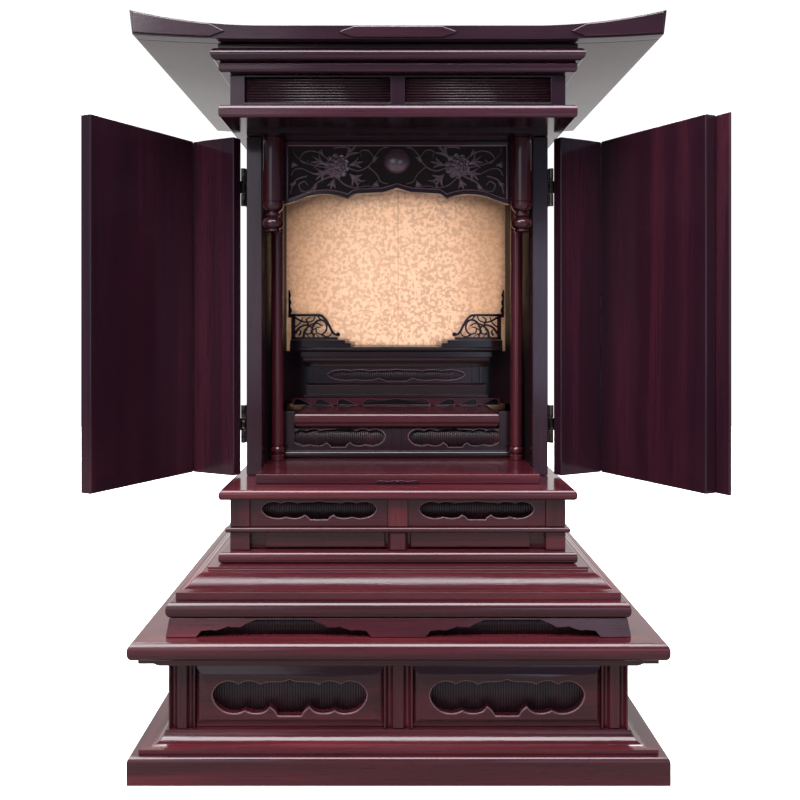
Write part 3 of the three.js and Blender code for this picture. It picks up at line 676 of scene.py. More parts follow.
def dress(piece: bpy.types.Object, finish: Finish, body: str, *nodes: str,
          trim: Optional[Finish] = None) -> bpy.types.Object:
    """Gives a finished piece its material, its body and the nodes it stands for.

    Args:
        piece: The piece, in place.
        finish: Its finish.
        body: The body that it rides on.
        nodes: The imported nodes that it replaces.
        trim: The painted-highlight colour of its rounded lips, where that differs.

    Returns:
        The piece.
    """
    lips = [polygon.material_index for polygon in piece.data.polygons] if trim else []
    piece.data.materials.clear()
    piece.data.materials.append(finish.material())
    if trim:
        piece.data.materials.append(trim.material())
        piece.data.polygons.foreach_set("material_index", lips)
    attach(piece, body)
    if nodes:
        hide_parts(*nodes)
    log.info("%s: %d faces", piece.name, len(piece.data.polygons))
    return piece


def refine(node: str, finish: Finish, arris: Arris = PLAIN, body: str = "cabinet") -> bpy.types.Object:
    """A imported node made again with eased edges.

    Args:
        node: The node's name.
        finish: Its finish.
        arris: How its edges are eased.
        body: The body that it rides on.

    Returns:
        The new piece.
    """
    return dress(ease(copy_of_node(node, f"{node}_joinery"), arris), finish, body, node)


# ---- Outlines ------------------------------------------------------------------------------------


def quarter(inset: float, height: float, steps: int = 12) -> list[Point2]:
    """A quarter-round as inset and height, from its narrow start to its full width."""
    turn = [math.pi / 2 * step / steps for step in range(steps + 1)]
    return [(inset * (1 - math.sin(a)), height * (1 - math.cos(a))) for a in turn]


def rounded_rings(half: float, front: float, bottom: float, top: float, inset: float, lower: float,
                  upper: float) -> list[Point3]:
    """The edge of a board rounded below and above.

    Args:
        half: Half its full width.
        front: The distance of its front from the origin.
        bottom: Its underside.
        top: Its upper face.
        inset: How far the rounding draws in.
        lower: The height of the rounding below.
        upper: The height of the rounding above.

    Returns:
        Half width, front and height from the underside up.
    """
    below = quarter(inset, lower) if lower else [(0.0, 0.0)]
    above = quarter(inset, upper) if upper else [(0.0, 0.0)]
    rings = [(half - away, front - away, bottom + rise) for away, rise in below]
    return rings + [(half - away, front - away, top - drop) for away, drop in reversed(above)]


def smooth(points: Sequence[Point2], per_span: int = 8) -> list[Point2]:
    """A spline through the points.

    Args:
        points: The points, in order.
        per_span: Steps between one point and the next.

    Returns:
        Points along the spline, with both ends.
    """
    chain = [points[0], *points, points[-1]]
    made: list[Point2] = []
    for index in range(len(points) - 1):
        a, b, c, d = (np.array(chain[index + k], float) for k in range(4))
        for step in range(per_span):
            t = step / per_span
            value = 0.5 * (2 * b + (c - a) * t + (2 * a - 5 * b + 4 * c - d) * t * t
                           + (3 * b - a - 3 * c + d) * t ** 3)
            made.append((float(value[0]), float(value[1])))
    made.append(tuple(points[-1]))
    return made


def mirrored(points: Sequence[Point2]) -> list[Point2]:
    """The outline reflected to the other side, still running the same way round."""
    return [(-x, z) for x, z in reversed(points)]


@dataclass(frozen=True)
class LobedOpening:
    """The cabinet's lobed opening: a flat drop, a tall cusp, a lobe, a round end, a lobe and a peak."""

    centre_x: float
    centre_z: float
    half_width: float
    half_height: float

    ARCS = (
        ((0.0, -1.04), (0.15, -1.04)),
        ((0.15, -1.04), (0.18, -0.80), (0.225, -0.60), (0.262, -0.48)),
        ((0.262, -0.48), (0.31, -0.74), (0.39, -0.88), (0.48, -0.88), (0.55, -0.80), (0.58, -0.70)),
        ((0.58, -0.70), (0.64, -0.84), (0.73, -0.90), (0.85, -0.78), (0.95, -0.42), (1.0, 0.08), (0.98, 0.50),
         (0.91, 0.83), (0.81, 0.98), (0.72, 0.92), (0.672, 0.78)),
        ((0.672, 0.78), (0.61, 0.93), (0.53, 0.99), (0.44, 0.93), (0.388, 0.78)),
        ((0.388, 0.78), (0.31, 0.90), (0.20, 0.93), (0.08, 0.96), (0.0, 1.08)),
    )

    def outline(self, steps: int = 5) -> list[Point2]:
        """The whole outline.

        Args:
            steps: Steps between one point of an arc and the next.

        Returns:
            Points, counter-clockwise seen from the front.
        """
        half: list[Point2] = []
        for arc in self.ARCS:
            scaled = [(u * self.half_width, v * self.half_height) for u, v in arc]
            half += smooth(scaled, steps)[:-1] if len(scaled) > 2 else scaled[:1]
        whole = half + [(0.0, self.ARCS[-1][-1][1] * self.half_height)] + mirrored(half[1:])
        return [(self.centre_x + x, self.centre_z + z) for x, z in whole]


def grown(points: Sequence[Point2], margin: float) -> list[Point2]:
    """An outline made larger.

    Args:
        points: The outline, counter-clockwise.
        margin: How far each point moves outwards along its normal.

    Returns:
        The larger outline.
    """
    made = []
    for index, (x, z) in enumerate(points):
        ax, az = points[index - 1]
        bx, bz = points[(index + 1) % len(points)]
        length = math.hypot(bx - ax, bz - az) or 1.0
        made.append((x + (bz - az) / length * margin, z - (bx - ax) / length * margin))
    return made


def pierced_plate(name: str, outer: Sequence[Sequence[Point2]], depths: Sequence[float],
                  holes: Sequence[Sequence[Point2]], lip: float = 0.0) -> bpy.types.Object:
    """A plate seen from the front with openings cut right through.

    Args:
        name: The new object's name.
        outer: Outlines of equal length, from the front face to the back face.
        depths: The Y of each outline.
        holes: Outlines of the openings, the same from front to back.
        lip: The radius that their front edges are rounded to.

    Returns:
        The plate, closed all round.
    """
    shell = bmesh.new()

    def ring(points: Sequence[Point2], y: float) -> list[bmesh.types.BMVert]:
        """A ring of vertices."""
        return [shell.verts.new((x * MM, y * MM, z * MM)) for x, z in points]

    def close(verts: list[bmesh.types.BMVert]) -> list[bmesh.types.BMEdge]:
        """The ring's edges."""
        pairs = zip(verts, verts[1:] + verts[:1])
        return [shell.edges.get(pair) or shell.edges.new(pair) for pair in pairs]

    def wall(first: list[bmesh.types.BMVert], second: list[bmesh.types.BMVert], slot: int = 0) -> None:
        """Faces between two rings.

        Args:
            first: One ring.
            second: The other.
            slot: The material slot of the faces.
        """
        for index in range(len(first)):
            after = (index + 1) % len(first)
            made = shell.faces.new((first[index], first[after], second[after], second[index]))
            made.material_index = slot

    rings = [ring(points, y) for points, y in zip(outer, depths)]
    for first, second in zip(rings, rings[1:]):
        wall(first, second)
    fronts, backs = close(rings[0]), close(rings[-1])
    for points in holes:
        turns = [math.radians(turn) for turn in (0, 30, 60, 90)] if lip else [math.pi / 2]
        levels = [ring(grown(points, lip * (1 - math.sin(turn))), depths[0] + lip * (1 - math.cos(turn)))
                  for turn in turns]
        levels.append(ring(points, depths[-1]))
        for index, (near, far) in enumerate(zip(levels, levels[1:])):
            wall(near, far, 1 if index < len(turns) - 1 else 0)
        fronts += close(levels[0])
        backs += close(levels[-1])
    for edges in (fronts, backs):
        bmesh.ops.triangle_fill(shell, use_beauty=True, use_dissolve=False, edges=edges)
    bmesh.ops.recalc_face_normals(shell, faces=shell.faces)
    mesh = bpy.data.meshes.new(name)
    mesh.materials.append(None)
    if lip:
        mesh.materials.append(None)
    shell.to_mesh(mesh)
    shell.free()
    return into_scene(name, mesh)


def rectangle(x0: float, x1: float, z0: float, z1: float, inset: float = 0.0) -> list[Point2]:
    """A rectangle's corners, counter-clockwise."""
    left, right, low, high = x0 + inset, x1 - inset, z0 + inset, z1 - inset
    return [(left, low), (right, low), (right, high), (left, high)]


# ---- Geometry Nodes ------------------------------------------------------------------------------


class Recipe:
    """A Geometry Nodes tree with named inputs that is used once and turned into a plain mesh."""

    INPUTS = (("Count", "Int"), ("Start", "Vector"), ("Step", "Vector"), ("Turn", "Rotation"),
              ("Material", "Material"))

    def __init__(self, name: str, *inputs: tuple[str, str]) -> None:
        """Starts the tree.

        Args:
            name: The tree's name.
            inputs: Names and kinds of the inputs besides those that every recipe has.
        """
        self.tree = bpy.data.node_groups.new(name, "GeometryNodeTree")
        self.identifiers: dict[str, str] = {}
        for label, kind in self.INPUTS + inputs:
            made = self.tree.interface.new_socket(label, in_out="INPUT", socket_type=f"NodeSocket{kind}")
            self.identifiers[label] = made.identifier
        self.tree.interface.new_socket("Geometry", in_out="OUTPUT", socket_type="NodeSocketGeometry")
        self.entry = self.tree.nodes.new("NodeGroupInput")

    def input(self, label: str) -> Wire:
        """A named input as a wire."""
        return Wire(self.tree, self.entry.outputs[label])

    def node(self, kind: str, settings: dict, inputs: dict, output: Union[int, str] = 0) -> Wire:
        """Adds a node, as Board.node does."""
        return Board(self.tree).node(kind, settings, inputs, output)

    def repeat(self, instance: Wire) -> None:
        """Ends the tree in a line of copies, as real geometry with its material.

        Args:
            instance: What is copied.
        """
        line = self.node("GeometryNodeMeshLine", {}, {
            "Count": self.input("Count"), "Start Location": self.input("Start"),
            "Offset": self.input("Step")})
        copies = self.node("GeometryNodeInstanceOnPoints", {}, {"Points": line, "Instance": instance})
        real = self.node("GeometryNodeRealizeInstances", {}, {"Geometry": copies})
        inputs = {"Geometry": real, "Material": self.input("Material")}
        dressed = self.node("GeometryNodeSetMaterial", {}, inputs)
        exit_node = self.tree.nodes.new("NodeGroupOutput")
        self.tree.links.new(dressed.socket, exit_node.inputs[0])

    def cook(self, name: str, values: dict) -> bpy.types.Object:
        """A plain mesh object made by the tree.

        Args:
            name: The object's name.
            values: The inputs by name.

        Returns:
            The object, without its modifier.
        """
        made = into_scene(name, bpy.data.meshes.new(name))
        modifier = made.modifiers.new("recipe", "NODES")
        modifier.node_group = self.tree
        for label, value in values.items():
            modifier[self.identifiers[label]] = value
        return settle(made)


class BarRecipe(Recipe):
    """A row of equal rounded bars, as in reeding and slats."""

    def __init__(self) -> None:
        """Builds the tree."""
        super().__init__("row_of_bars", ("Radius", "Float"), ("Length", "Float"), ("Squash", "Vector"))
        bar = self.node("GeometryNodeMeshCylinder", {"fill_type": "NGON"}, {
            "Vertices": 14, "Radius": self.input("Radius"), "Depth": self.input("Length")}, "Mesh")
        turned = self.node("GeometryNodeTransform", {}, {"Geometry": bar, "Rotation": self.input("Turn")})
        shaped = self.node("GeometryNodeTransform", {}, {"Geometry": turned, "Scale": self.input("Squash")})
        self.repeat(self.node("GeometryNodeSetShadeSmooth", {}, {"Geometry": shaped}))

    def row(self, name: str, finish: Finish, start: Point3, step: Point3, count: int, radius: float,
            length: float, flat: Point2, *nodes: str, level: bool = False) -> bpy.types.Object:
        """A dressed row of upright bars, or a stack of bars lying along X.

        Args:
            name: The object's name.
            finish: Its finish.
            start: The first bar's middle in millimetres.
            step: From one bar to the next in millimetres.
            count: How many bars.
            radius: A bar's radius in millimetres before it is flattened.
            length: A bar's length in millimetres.
            flat: How a bar is scaled across X and Y, or across Y and Z if it is level.
            nodes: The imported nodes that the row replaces.
            level: Whether the bars lie level.

        Returns:
            The row as one piece.
        """
        made = self.cook(name, {
            "Count": count, "Start": tuple(v * MM for v in start), "Step": tuple(v * MM for v in step),
            "Radius": radius * MM, "Length": length * MM, "Squash": (1.0, *flat) if level else (*flat, 1.0),
            "Turn": (0.0, math.pi / 2 if level else 0.0, 0.0), "Material": finish.material()})
        return dress(made, finish, "cabinet", *nodes)


BARS = BarRecipe()


class ScrewRecipe(Recipe):
    """A column of small slotted screws."""

    def __init__(self) -> None:
        """Builds the tree."""
        super().__init__("screws", ("Head", "Float"))
        ball = self.node("GeometryNodeMeshUVSphere", {}, {
            "Segments": 20, "Rings": 10, "Radius": self.input("Head")}, "Mesh")
        head = self.node("GeometryNodeTransform", {}, {"Geometry": ball, "Scale": (1.0, 1.0, 0.38)})
        slot = self.node("GeometryNodeMeshCube", {}, {"Size": (0.0040, 0.00034, 0.0008)}, "Mesh")
        raised = self.node("GeometryNodeTransform", {}, {
            "Geometry": slot, "Translation": (0.0, 0.0, 0.00062)})
        cut = self.node("GeometryNodeMeshBoolean", {"operation": "DIFFERENCE"}, {0: head, 1: raised}, "Mesh")
        self.repeat(self.node("GeometryNodeTransform", {}, {"Geometry": cut, "Rotation": self.input("Turn")}))


# ---- The stand -----------------------------------------------------------------------------------


@dataclass
class Moulding:
    """A board or moulding that runs round the front and both sides, flat at the back."""

    node: str
    rings: list[Point3]
    seed: int = 0
    back: float = 205.0
    arris: Arris = FINE
    cut: Cut = Cut.RED

    def build(self, *nodes: str, extra: Optional[Callable[[Draft], None]] = None) -> bpy.types.Object:
        """Makes the moulding in place of its node.

        Args:
            nodes: Further nodes that it replaces.
            extra: Adds more shells to the draft.

        Returns:
            The piece.
        """
        draft = Draft()
        back = self.back
        draft.loft([[(-h, -f, z), (h, -f, z), (h, back, z), (-h, back, z)] for h, f, z in self.rings])
        if extra:
            extra(draft)
        piece = ease(draft.build(f"{self.node}_profile"), self.arris)
        half, front = max(h for h, _, _ in self.rings), max(f for _, f, _ in self.rings)
        return dress(piece, mitred(half, front, self.seed, self.cut), "cabinet", self.node, *nodes)


def board_of(node: str, inset: float, lower: float, upper: float, seed: int = 0) -> Moulding:
    """A rounded board that fills its node's box.

    Args:
        node: The node.
        inset: How far the rounding draws in.
        lower: The height of the rounding below.
        upper: The height of the rounding above.
        seed: Which board the piece is cut from.

    Returns:
        The moulding, not yet built.
    """
    low, high = node_box(node)
    return Moulding(node, rounded_rings(high.x, -low.y, low.z, high.z, inset, lower, upper), seed)


@dataclass
class Stand:
    """The stepped stand: plinth, base box with lobed panels, shelf, bracketed apron and mouldings."""

    reed_pitch: float = 2.1
    flute_depth: float = 3.0
    panel_bevel: float = 4.5
    field_low: float = 37.3
    field_high: float = 82.1
    centre_z: float = 58.5
    half_opening: Point2 = (60.75, 13.3)

    def build(self) -> None:
        """Makes every piece of the stand."""
        self.plinth()
        self.base_box()
        self.shelf()
        self.apron()
        self.top_mouldings()

    def plinth(self) -> None:
        """The plinth board and the stepped ovolo above it."""
        board_of("plinth_board", 2.6, 0, 4.5).build()
        rings = [(201.2, 207.5, node_box("plinth_moulding")[0].z), (201.2, 207.5, 25.1)]
        rings += [(183.6 + away, 194.3 + away, 25.1 + rise) for away, rise in quarter(12.4, 9.6)]
        Moulding("plinth_moulding", rings, 1).build()

    def fluted_post(self, node: str, seed: int) -> None:
        """A post with a flat rib between two hollow flutes.

        Args:
            node: The post's node.
            seed: Which board it is cut from.
        """
        low, high = node_box(node)
        width, front = high.x - low.x, low.y
        face: list[Point2] = [(low.x, front)]
        for start, stop in ((0.06, 0.33), (0.67, 0.94)):
            for t in (step / 14 for step in range(15)):
                x = low.x + width * (start + (stop - start) * t)
                face.append((x, front + self.flute_depth * math.sin(math.pi * t)))
        face += [(high.x, front), (high.x, high.y), (low.x, high.y)]
        draft = Draft()
        draft.standing(face, low.z, high.z)
        draft.piece(f"{node}_fluted", FINE, rosewood(Grain.ALONG_Z, seed, Cut.RED), node)

    def base_panel(self, side: str, seed: int) -> None:
        """A raised and fielded panel with its lobed opening.

        Args:
            side: Left or right.
            seed: Which board it is cut from.
        """
        node = f"base_panel_{side}"
        low, high = node_box(node)
        slab = rectangle(low.x, high.x, low.z, high.z)
        edge = rectangle(low.x, high.x, self.field_low, self.field_high)
        field_face = rectangle(low.x, high.x, self.field_low, self.field_high, self.panel_bevel)
        opening = LobedOpening((low.x + high.x) / 2, self.centre_z, *self.half_opening).outline()
        depths = [low.y, low.y + 2.7, low.y + 2.9, high.y]
        piece = pierced_plate(f"{node}_fielded", [field_face, edge, slab, slab], depths, [opening], 1.0)
        ease(piece, Arris(0.6, 3, 40))
        # The rounded lip round the opening takes a painted highlight.
        dress(piece, rosewood(Grain.ALONG_X, seed, Cut.RED), "cabinet", node, trim=painted_highlight_edge())

    def reeded_board(self, node: str, seed: int) -> None:
        """A back board faced with upright reeds, as two pieces.

        Args:
            node: The board's node.
            seed: Which board it is cut from.
        """
        low, high = node_box(node)
        draft = Draft()
        draft.box((low.x, low.y + 0.9, low.z), tuple(high))
        draft.piece(f"{node}_backing", NONE, shadow_wood(Grain.ALONG_Z, seed), node)
        count = int((high.x - low.x) / self.reed_pitch)
        pitch = (high.x - low.x) / count
        height = high.z - low.z
        BARS.row(f"{node}_reeds", shadow_wood(Grain.ALONG_Z, seed, DULL),
                 (low.x + pitch / 2, low.y + 0.95, low.z + height / 2), (pitch, 0, 0), count, pitch / 2,
                 height, (1.0, 0.5), node)

    def base_box(self) -> None:
        """The box between plinth and shelf."""
        low, high = node_box("base_case")
        refine("base_case", mitred(high.x, -low.y, 1))
        for index, side in enumerate(("left", "middle", "right")):
            self.fluted_post(f"base_post_{side}", index)
        self.base_panel("left", 0)
        self.base_panel("right", 2)
        self.reeded_board("base_reeded_board", 1)

    def shelf(self) -> None:
        """The broad shelf with its stepped under-moulding."""
        low, high = node_box("shelf_board")
        under = [(188.0, 196.5, low.z), (190.5, 196.8, 86.9), (193.6, 198.0, 89.4), (194.0, 198.4, 91.1),
                 (202.0, 205.9, 91.1), (202.0, 205.9, 94.8)]
        rings = under + rounded_rings(high.x, -low.y, 94.8, high.z, 4.4, 6.0, 6.0)
        Moulding("shelf_board", rings, 2).build()

    def apron(self) -> None:
        """The waved brackets and the reeding behind them."""
        low, high = node_box("apron_frame")
        refine("apron_frame", mitred(high.x, -low.y, 3), FINE)
        node = "apron_reeded_board"
        low, high = node_box(node)
        middle, height = (low.z + high.z) / 2, high.z - low.z
        wood = shadow_wood(Grain.ALONG_Z, 2, DULL)
        backing = Draft()
        x0, x1, y0 = low.x + 0.8, high.x - 0.8, low.y + 0.8
        u0, u1, v0 = low.x + 5.0, high.x - 5.0, low.y + 5.0
        backing.standing([(x0, y0), (x1, y0), (x1, high.y), (u1, high.y), (u1, v0), (u0, v0), (u0, high.y),
                          (x0, high.y)], low.z, high.z)
        backing.piece("apron_backing", NONE, wood, node)
        count = int((high.x - low.x) / self.reed_pitch)
        pitch = (high.x - low.x - 1.6) / count
        BARS.row("apron_reeds_front", wood, (x0 + pitch / 2, low.y + 0.9, middle), (pitch, 0, 0), count,
                 pitch / 2, height, (1.0, 0.5), node)
        count = int((high.y - low.y) / self.reed_pitch)
        pitch = (high.y - low.y - 1.0) / count
        for side, x in (("left", low.x + 0.9), ("right", high.x - 0.9)):
            BARS.row(f"apron_reeds_{side}", wood, (x, low.y + 1.0 + pitch / 2, middle), (0, pitch, 0), count,
                     pitch / 2, height, (0.5, 1.0), node)

    def top_mouldings(self) -> None:
        """The torus board, the long cyma slope and the sill that carries the neck."""
        board_of("torus_board", 4.0, 6.0, 6.0, 4).build()
        low, high = node_box("cyma_moulding")
        rings = [(high.x, -low.y, low.z), (high.x, -low.y, 142.1), (174.4, 189.2, 142.1)]
        for t in (step / 28 for step in range(1, 29)):
            z = 142.1 + 11.1 * (t - math.sin(2 * math.pi * t) * 0.09)
            rings.append((174.4 - 16.9 * t, 189.2 - 22.4 * t, z))
        rings += [(156.4, 164.4, 153.2), (156.4, 164.4, high.z)]
        Moulding("cyma_moulding", rings, 0).build()
        board_of("neck_sill", 2.5, 3.5, 4.2, 1).build()


@dataclass
class Neck:
    """The two-tier neck between the stand and the shrine case."""

    half_opening: Point2 = (47.9, 7.2)
    centre_z: float = 197.6

    def build(self, reeding: Stand) -> None:
        """Makes every piece of the neck.

        Args:
            reeding: The stand, whose reeding the neck repeats.
        """
        low, high = node_box("neck_case")
        refine("neck_case", mitred(high.x, -low.y, 2))
        refine("neck_lower_front", rosewood(Grain.ALONG_X, 3, Cut.RED), FINE)
        low, high = node_box("neck_rail")
        refine("neck_rail", mitred(high.x, -low.y, 2), FINE)
        refine("neck_upper_frame", rosewood(Grain.ALONG_Z, 1, Cut.RED), FINE)
        reeding.reeded_board("neck_reeded_board", 3)
        for side, seed in (("left", 1), ("right", 3)):
            node = f"neck_panel_{side}"
            low, high = node_box(node)
            slab = rectangle(low.x, high.x, low.z, high.z)
            opening = LobedOpening((low.x + high.x) / 2, self.centre_z, *self.half_opening).outline()
            piece = pierced_plate(f"{node}_cut", [slab, slab], [low.y, high.y], [opening], 0.8)
            ease(piece, Arris(0.4, 2, 40))
            # The rounded lip round the opening takes a painted highlight.
            dress(piece, rosewood(Grain.ALONG_X, seed, Cut.RED), "cabinet", node, trim=painted_highlight_edge())


# ---- The shrine case -----------------------------------------------------------------------------


@dataclass
class ShrineCase:
    """Floor, sides, back, gold backdrop and turned work."""

    shade_sheet_x: Point2 = (123.55, 123.9)

    def build(self) -> None:
        """Makes every piece of the case but its altar, transom and top."""
        board_of("floor_board", 2.5, 3.5, 4.0, 3).build()
        refine("inner_floor", rosewood(Grain.ALONG_X, 2, Cut.RED), FINE)
        self.threshold()
        for side, seed in (("left", 0), ("right", 2)):
            refine(f"case_side_{side}", rosewood(Grain.ALONG_Z, seed), PLAIN)
            self.shade_sheet(side, -1 if side == "left" else 1)
        refine("case_back", rosewood(Grain.ALONG_Z, 3))
        gold = copy_of_node("gold_backdrop", "gold_backdrop_sheet")
        dress(ease(gold, NONE), GoldPaper(), "cabinet", "gold_backdrop")
        self.turned_work()

    def shade_sheet(self, side: str, sign: int) -> None:
        """A thin near-black sheet just inside one case side, from the stile to the gold: painted shade.

        Args:
            side: Left or right.
            sign: Minus one on the left and one on the right.
        """
        draft = Draft()
        x0, x1 = sorted(sign * x for x in self.shade_sheet_x)
        # Painted shade: a dark sheet over the shaded inner wall.
        draft.box((x0, -59.0, 225.0), (x1, 118.0, 523.8))
        draft.piece(f"case_lining_{side}", NONE, painted_shade_wood())

    def threshold(self) -> None:
        """The little carved cloud on the sill's edge."""
        low, high = node_box("threshold_ornament")
        half, base, top = high.x, low.z, high.z
        body = smooth([
            (-half, base + 1.5), (-half + 3, top), (-9, top - 0.9), (-3.5, top), (0, top - 0.5), (3.5, top),
            (9, top - 0.9), (half - 3, top), (half, base + 1.5), (half - 3.5, base), (8, base + 0.7),
            (4, base), (0, base + 0.5), (-4, base), (-8, base + 0.7), (-half + 3.5, base)], 5)
        draft = Draft()
        draft.frontal(body[::-1], low.y + 0.45, high.y)
        knob = [(0.6, base + 0.2), (1.3, base + 0.8), (1.3, top - 0.9), (0.6, top - 0.3)]
        draft.lathe(knob, 0, low.y + 0.95, 20)
        draft.piece("threshold_cloud", Arris(0.3, 3), rosewood(Grain.ALONG_X, 1), "threshold_ornament")

    def turned_work(self) -> None:
        """The hanging pendants at the front and the slim columns behind them."""
        pendant = smooth([
            (5.2, 438.2), (6.4, 439.0), (6.5, 440.2), (5.9, 441.0), (8.0, 442.3), (9.3, 444.0), (9.8, 446.0),
            (9.5, 448.0), (8.4, 450.0), (6.3, 451.6), (5.4, 452.4)], 5)
        pendant += smooth([(6.3, 452.9), (6.7, 453.9), (6.3, 454.9)], 4) + [(5.4, 455.4), (5.3, 456.4)]
        pendant += smooth([(5.9, 456.9), (7.4, 458.0), (9.0, 460.0), (9.8, 462.4)], 5)
        pendant += [(9.8, 464.8), (9.2, 465.2), (9.2, 465.8), (9.8, 466.2), (9.8, 523.7)]
        column = [(6.6, 224.8), (6.6, 228.4), (5.3, 229.3)]
        column += smooth([
            (5.3, 230.2), (6.2, 231.6), (6.6, 233.2), (6.5, 234.9), (5.8, 236.4), (4.9, 237.4)], 5)
        column += [(5.8, 238.6), (5.8, 523.7)]
        for index, side in enumerate(("left", "right")):
            for kind, profile in (("pendant", pendant), ("column", column)):
                node = f"{kind}_{side}"
                low, high = node_box(node)
                x, y = round((low.x + high.x) / 2, 1), round((low.y + high.y) / 2, 1)
                draft = Draft()
                draft.lathe(profile, x, y)
                draft.piece(f"{node}_turned", NONE, rosewood(Grain.ALONG_Z, index + 1, Cut.RED), node)


class Relief:
    """A carved surface held as heights above a sunk field."""

    FINGER_WIDTH = 2.5
    FINGER_SPREAD = 26.0

    def __init__(self, outline: Sequence[Point2], pitch: float) -> None:
        """Lays the grid.

        Args:
            outline: The field's outline in the front view.
            pitch: Distance between grid points in millimetres.
        """
        corners = np.array(outline)
        low, high = corners.min(0), corners.max(0)
        self.xs = np.arange(low[0], high[0] + pitch / 2, pitch)
        self.zs = np.arange(low[1], high[1] + pitch / 2, pitch)
        self.x, self.z = np.meshgrid(self.xs, self.zs)
        self.height = np.zeros_like(self.x)
        self.outline = corners

    def raise_to(self, height: np.ndarray) -> None:
        """Keeps the higher of the carving and a new form."""
        self.height = np.maximum(self.height, height)

    def distance(self, path: Sequence[Point2]) -> tuple[np.ndarray, np.ndarray]:
        """Measures the grid from a path.

        Args:
            path: Points in the front view.

        Returns:
            The distance from the path, and how far along it the nearest point lies from zero to one.
        """
        points = np.array(path, float)
        spans = np.hypot(*np.diff(points, axis=0).T)
        total, run = spans.sum(), 0.0
        best = np.full(self.x.shape, 1e9)
        along = np.zeros(self.x.shape)
        for (a, b), span in zip(zip(points, points[1:]), spans):
            way = (b - a) / max(span, 1e-9)
            t = np.clip((self.x - a[0]) * way[0] + (self.z - a[1]) * way[1], 0, span)
            gap = np.hypot(self.x - a[0] - way[0] * t, self.z - a[1] - way[1] * t)
            closer = gap < best
            best = np.where(closer, gap, best)
            along = np.where(closer, (run + t) / total, along)
            run += span
        return best, along

    def vine(self, path: Sequence[Point2], width: float, height: float, taper: float = 0.5) -> None:
        """A rounded stem that thins towards its end.

        Args:
            path: Points of its middle line.
            width: Its width at the start.
            height: How far it stands up.
            taper: The share of its width that it loses.
        """
        gap, along = self.distance(smooth(path, 6))
        reach = width / 2 * (1 - taper * along)
        self.raise_to(height * np.sqrt(np.clip(1 - (gap / reach) ** 2, 0, 1)))

    def blade(self, path: Sequence[Point2], width: float, height: float) -> None:
        """A pointed leaf with a cut midrib and turned-up edges.

        Args:
            path: Points of its midrib.
            width: Its greatest width.
            height: How far it stands up.
        """
        gap, along = self.distance(smooth(path, 5))
        reach = width / 2 * np.sin(np.pi * np.clip(along * 0.94 + 0.06, 0, 1)) ** 0.75 + 1e-6
        inside = np.clip(1 - gap / reach, 0, 1)
        form = height * (0.55 + 0.45 * along) * np.minimum(1, inside * 3.0) ** 0.6
        form -= 0.38 * height * np.exp(-(gap / 0.42) ** 2) * (along < 0.93)
        self.raise_to(np.where(inside > 0, np.maximum(form, 0.12), 0))

    def spray(self, x: float, z: float, degrees: float, length: float, fingers: int, height: float) -> None:
        """A many-fingered leaf that fans out from one point.

        Args:
            x: The point, across.
            z: The point, up.
            degrees: The way that its middle faces.
            length: The length of its middle finger.
            fingers: How many fingers.
            height: How far it stands up.
        """
        for index in range(fingers):
            lean = (index - (fingers - 1) / 2) * self.FINGER_SPREAD
            reach = length * (1 - 0.13 * abs(index - (fingers - 1) / 2))
            first, last = math.radians(degrees + lean * 0.4), math.radians(degrees + lean * 1.5)
            middle = (x + 0.5 * reach * math.cos(first), z + 0.5 * reach * math.sin(first))
            tip = (middle[0] + 0.55 * reach * math.cos(last), middle[1] + 0.55 * reach * math.sin(last))
            self.blade([(x, z), middle, tip], self.FINGER_WIDTH, height)

    def peony(self, x: float, z: float, radius: float, height: float) -> None:
        """A full flower: rings of cupped petals round a domed heart.

        Args:
            x: Its middle, across.
            z: Its middle, up.
            radius: The radius of its heart.
            height: How far it stands up.
        """
        across, up = self.x - x, self.z - z
        away, turn = np.hypot(across, up), np.arctan2(up, across)
        for petals, inner, outer, level, spin in ((10, 0.80, 1.38, 0.42, 0.2), (9, 0.62, 1.14, 0.62, 0.55)):
            phase = (turn + spin) * petals / (2 * math.pi)
            offset = np.abs(phase - np.round(phase)) * 2
            rim = radius * (outer - 0.26 * offset ** 2.2)
            form = height * level * (0.55 + 0.45 * np.clip(away / rim, 0, 1) ** 2)
            form = form * (1 - 0.42 * offset ** 3)
            self.raise_to(np.where((away < rim) & (away > radius * inner * 0.5), form, 0))
        dome = height * np.sqrt(np.clip(1 - (away / radius) ** 2 * 0.85, 0, 1))
        for petals, ring, size in ((9, 0.76, 0.30), (6, 0.46, 0.28), (1, 0.0, 0.30)):
            spin = 2 * math.pi * (np.round((turn + ring) * petals / (2 * math.pi))) / petals - ring
            middle_x, middle_z = radius * ring * np.cos(spin), radius * ring * np.sin(spin)
            near = np.hypot(across - middle_x, up - middle_z) / (radius * size)
            lump = 0.30 * height * np.clip(1 - near ** 2, -0.7, 1)
            dome = np.where(near < 1.3, np.maximum(dome + lump - 0.12 * height, dome * 0.80), dome)
        self.raise_to(np.where(away < radius, dome, 0))

    def boss(self, x: float, z: float, radius: float, height: float, squash: float) -> None:
        """A plain polished dome in a cut ring.

        Args:
            x: Its middle, across.
            z: Its middle, up.
            radius: Its radius across.
            height: How far it stands up.
            squash: Its height in the front view over its width.
        """
        away = np.hypot(self.x - x, (self.z - z) / squash) / radius
        self.height = np.where(away < 1.10, np.minimum(self.height, 0.0), self.height)
        self.raise_to(height * np.sqrt(np.clip(1 - away ** 2, 0, 1)))

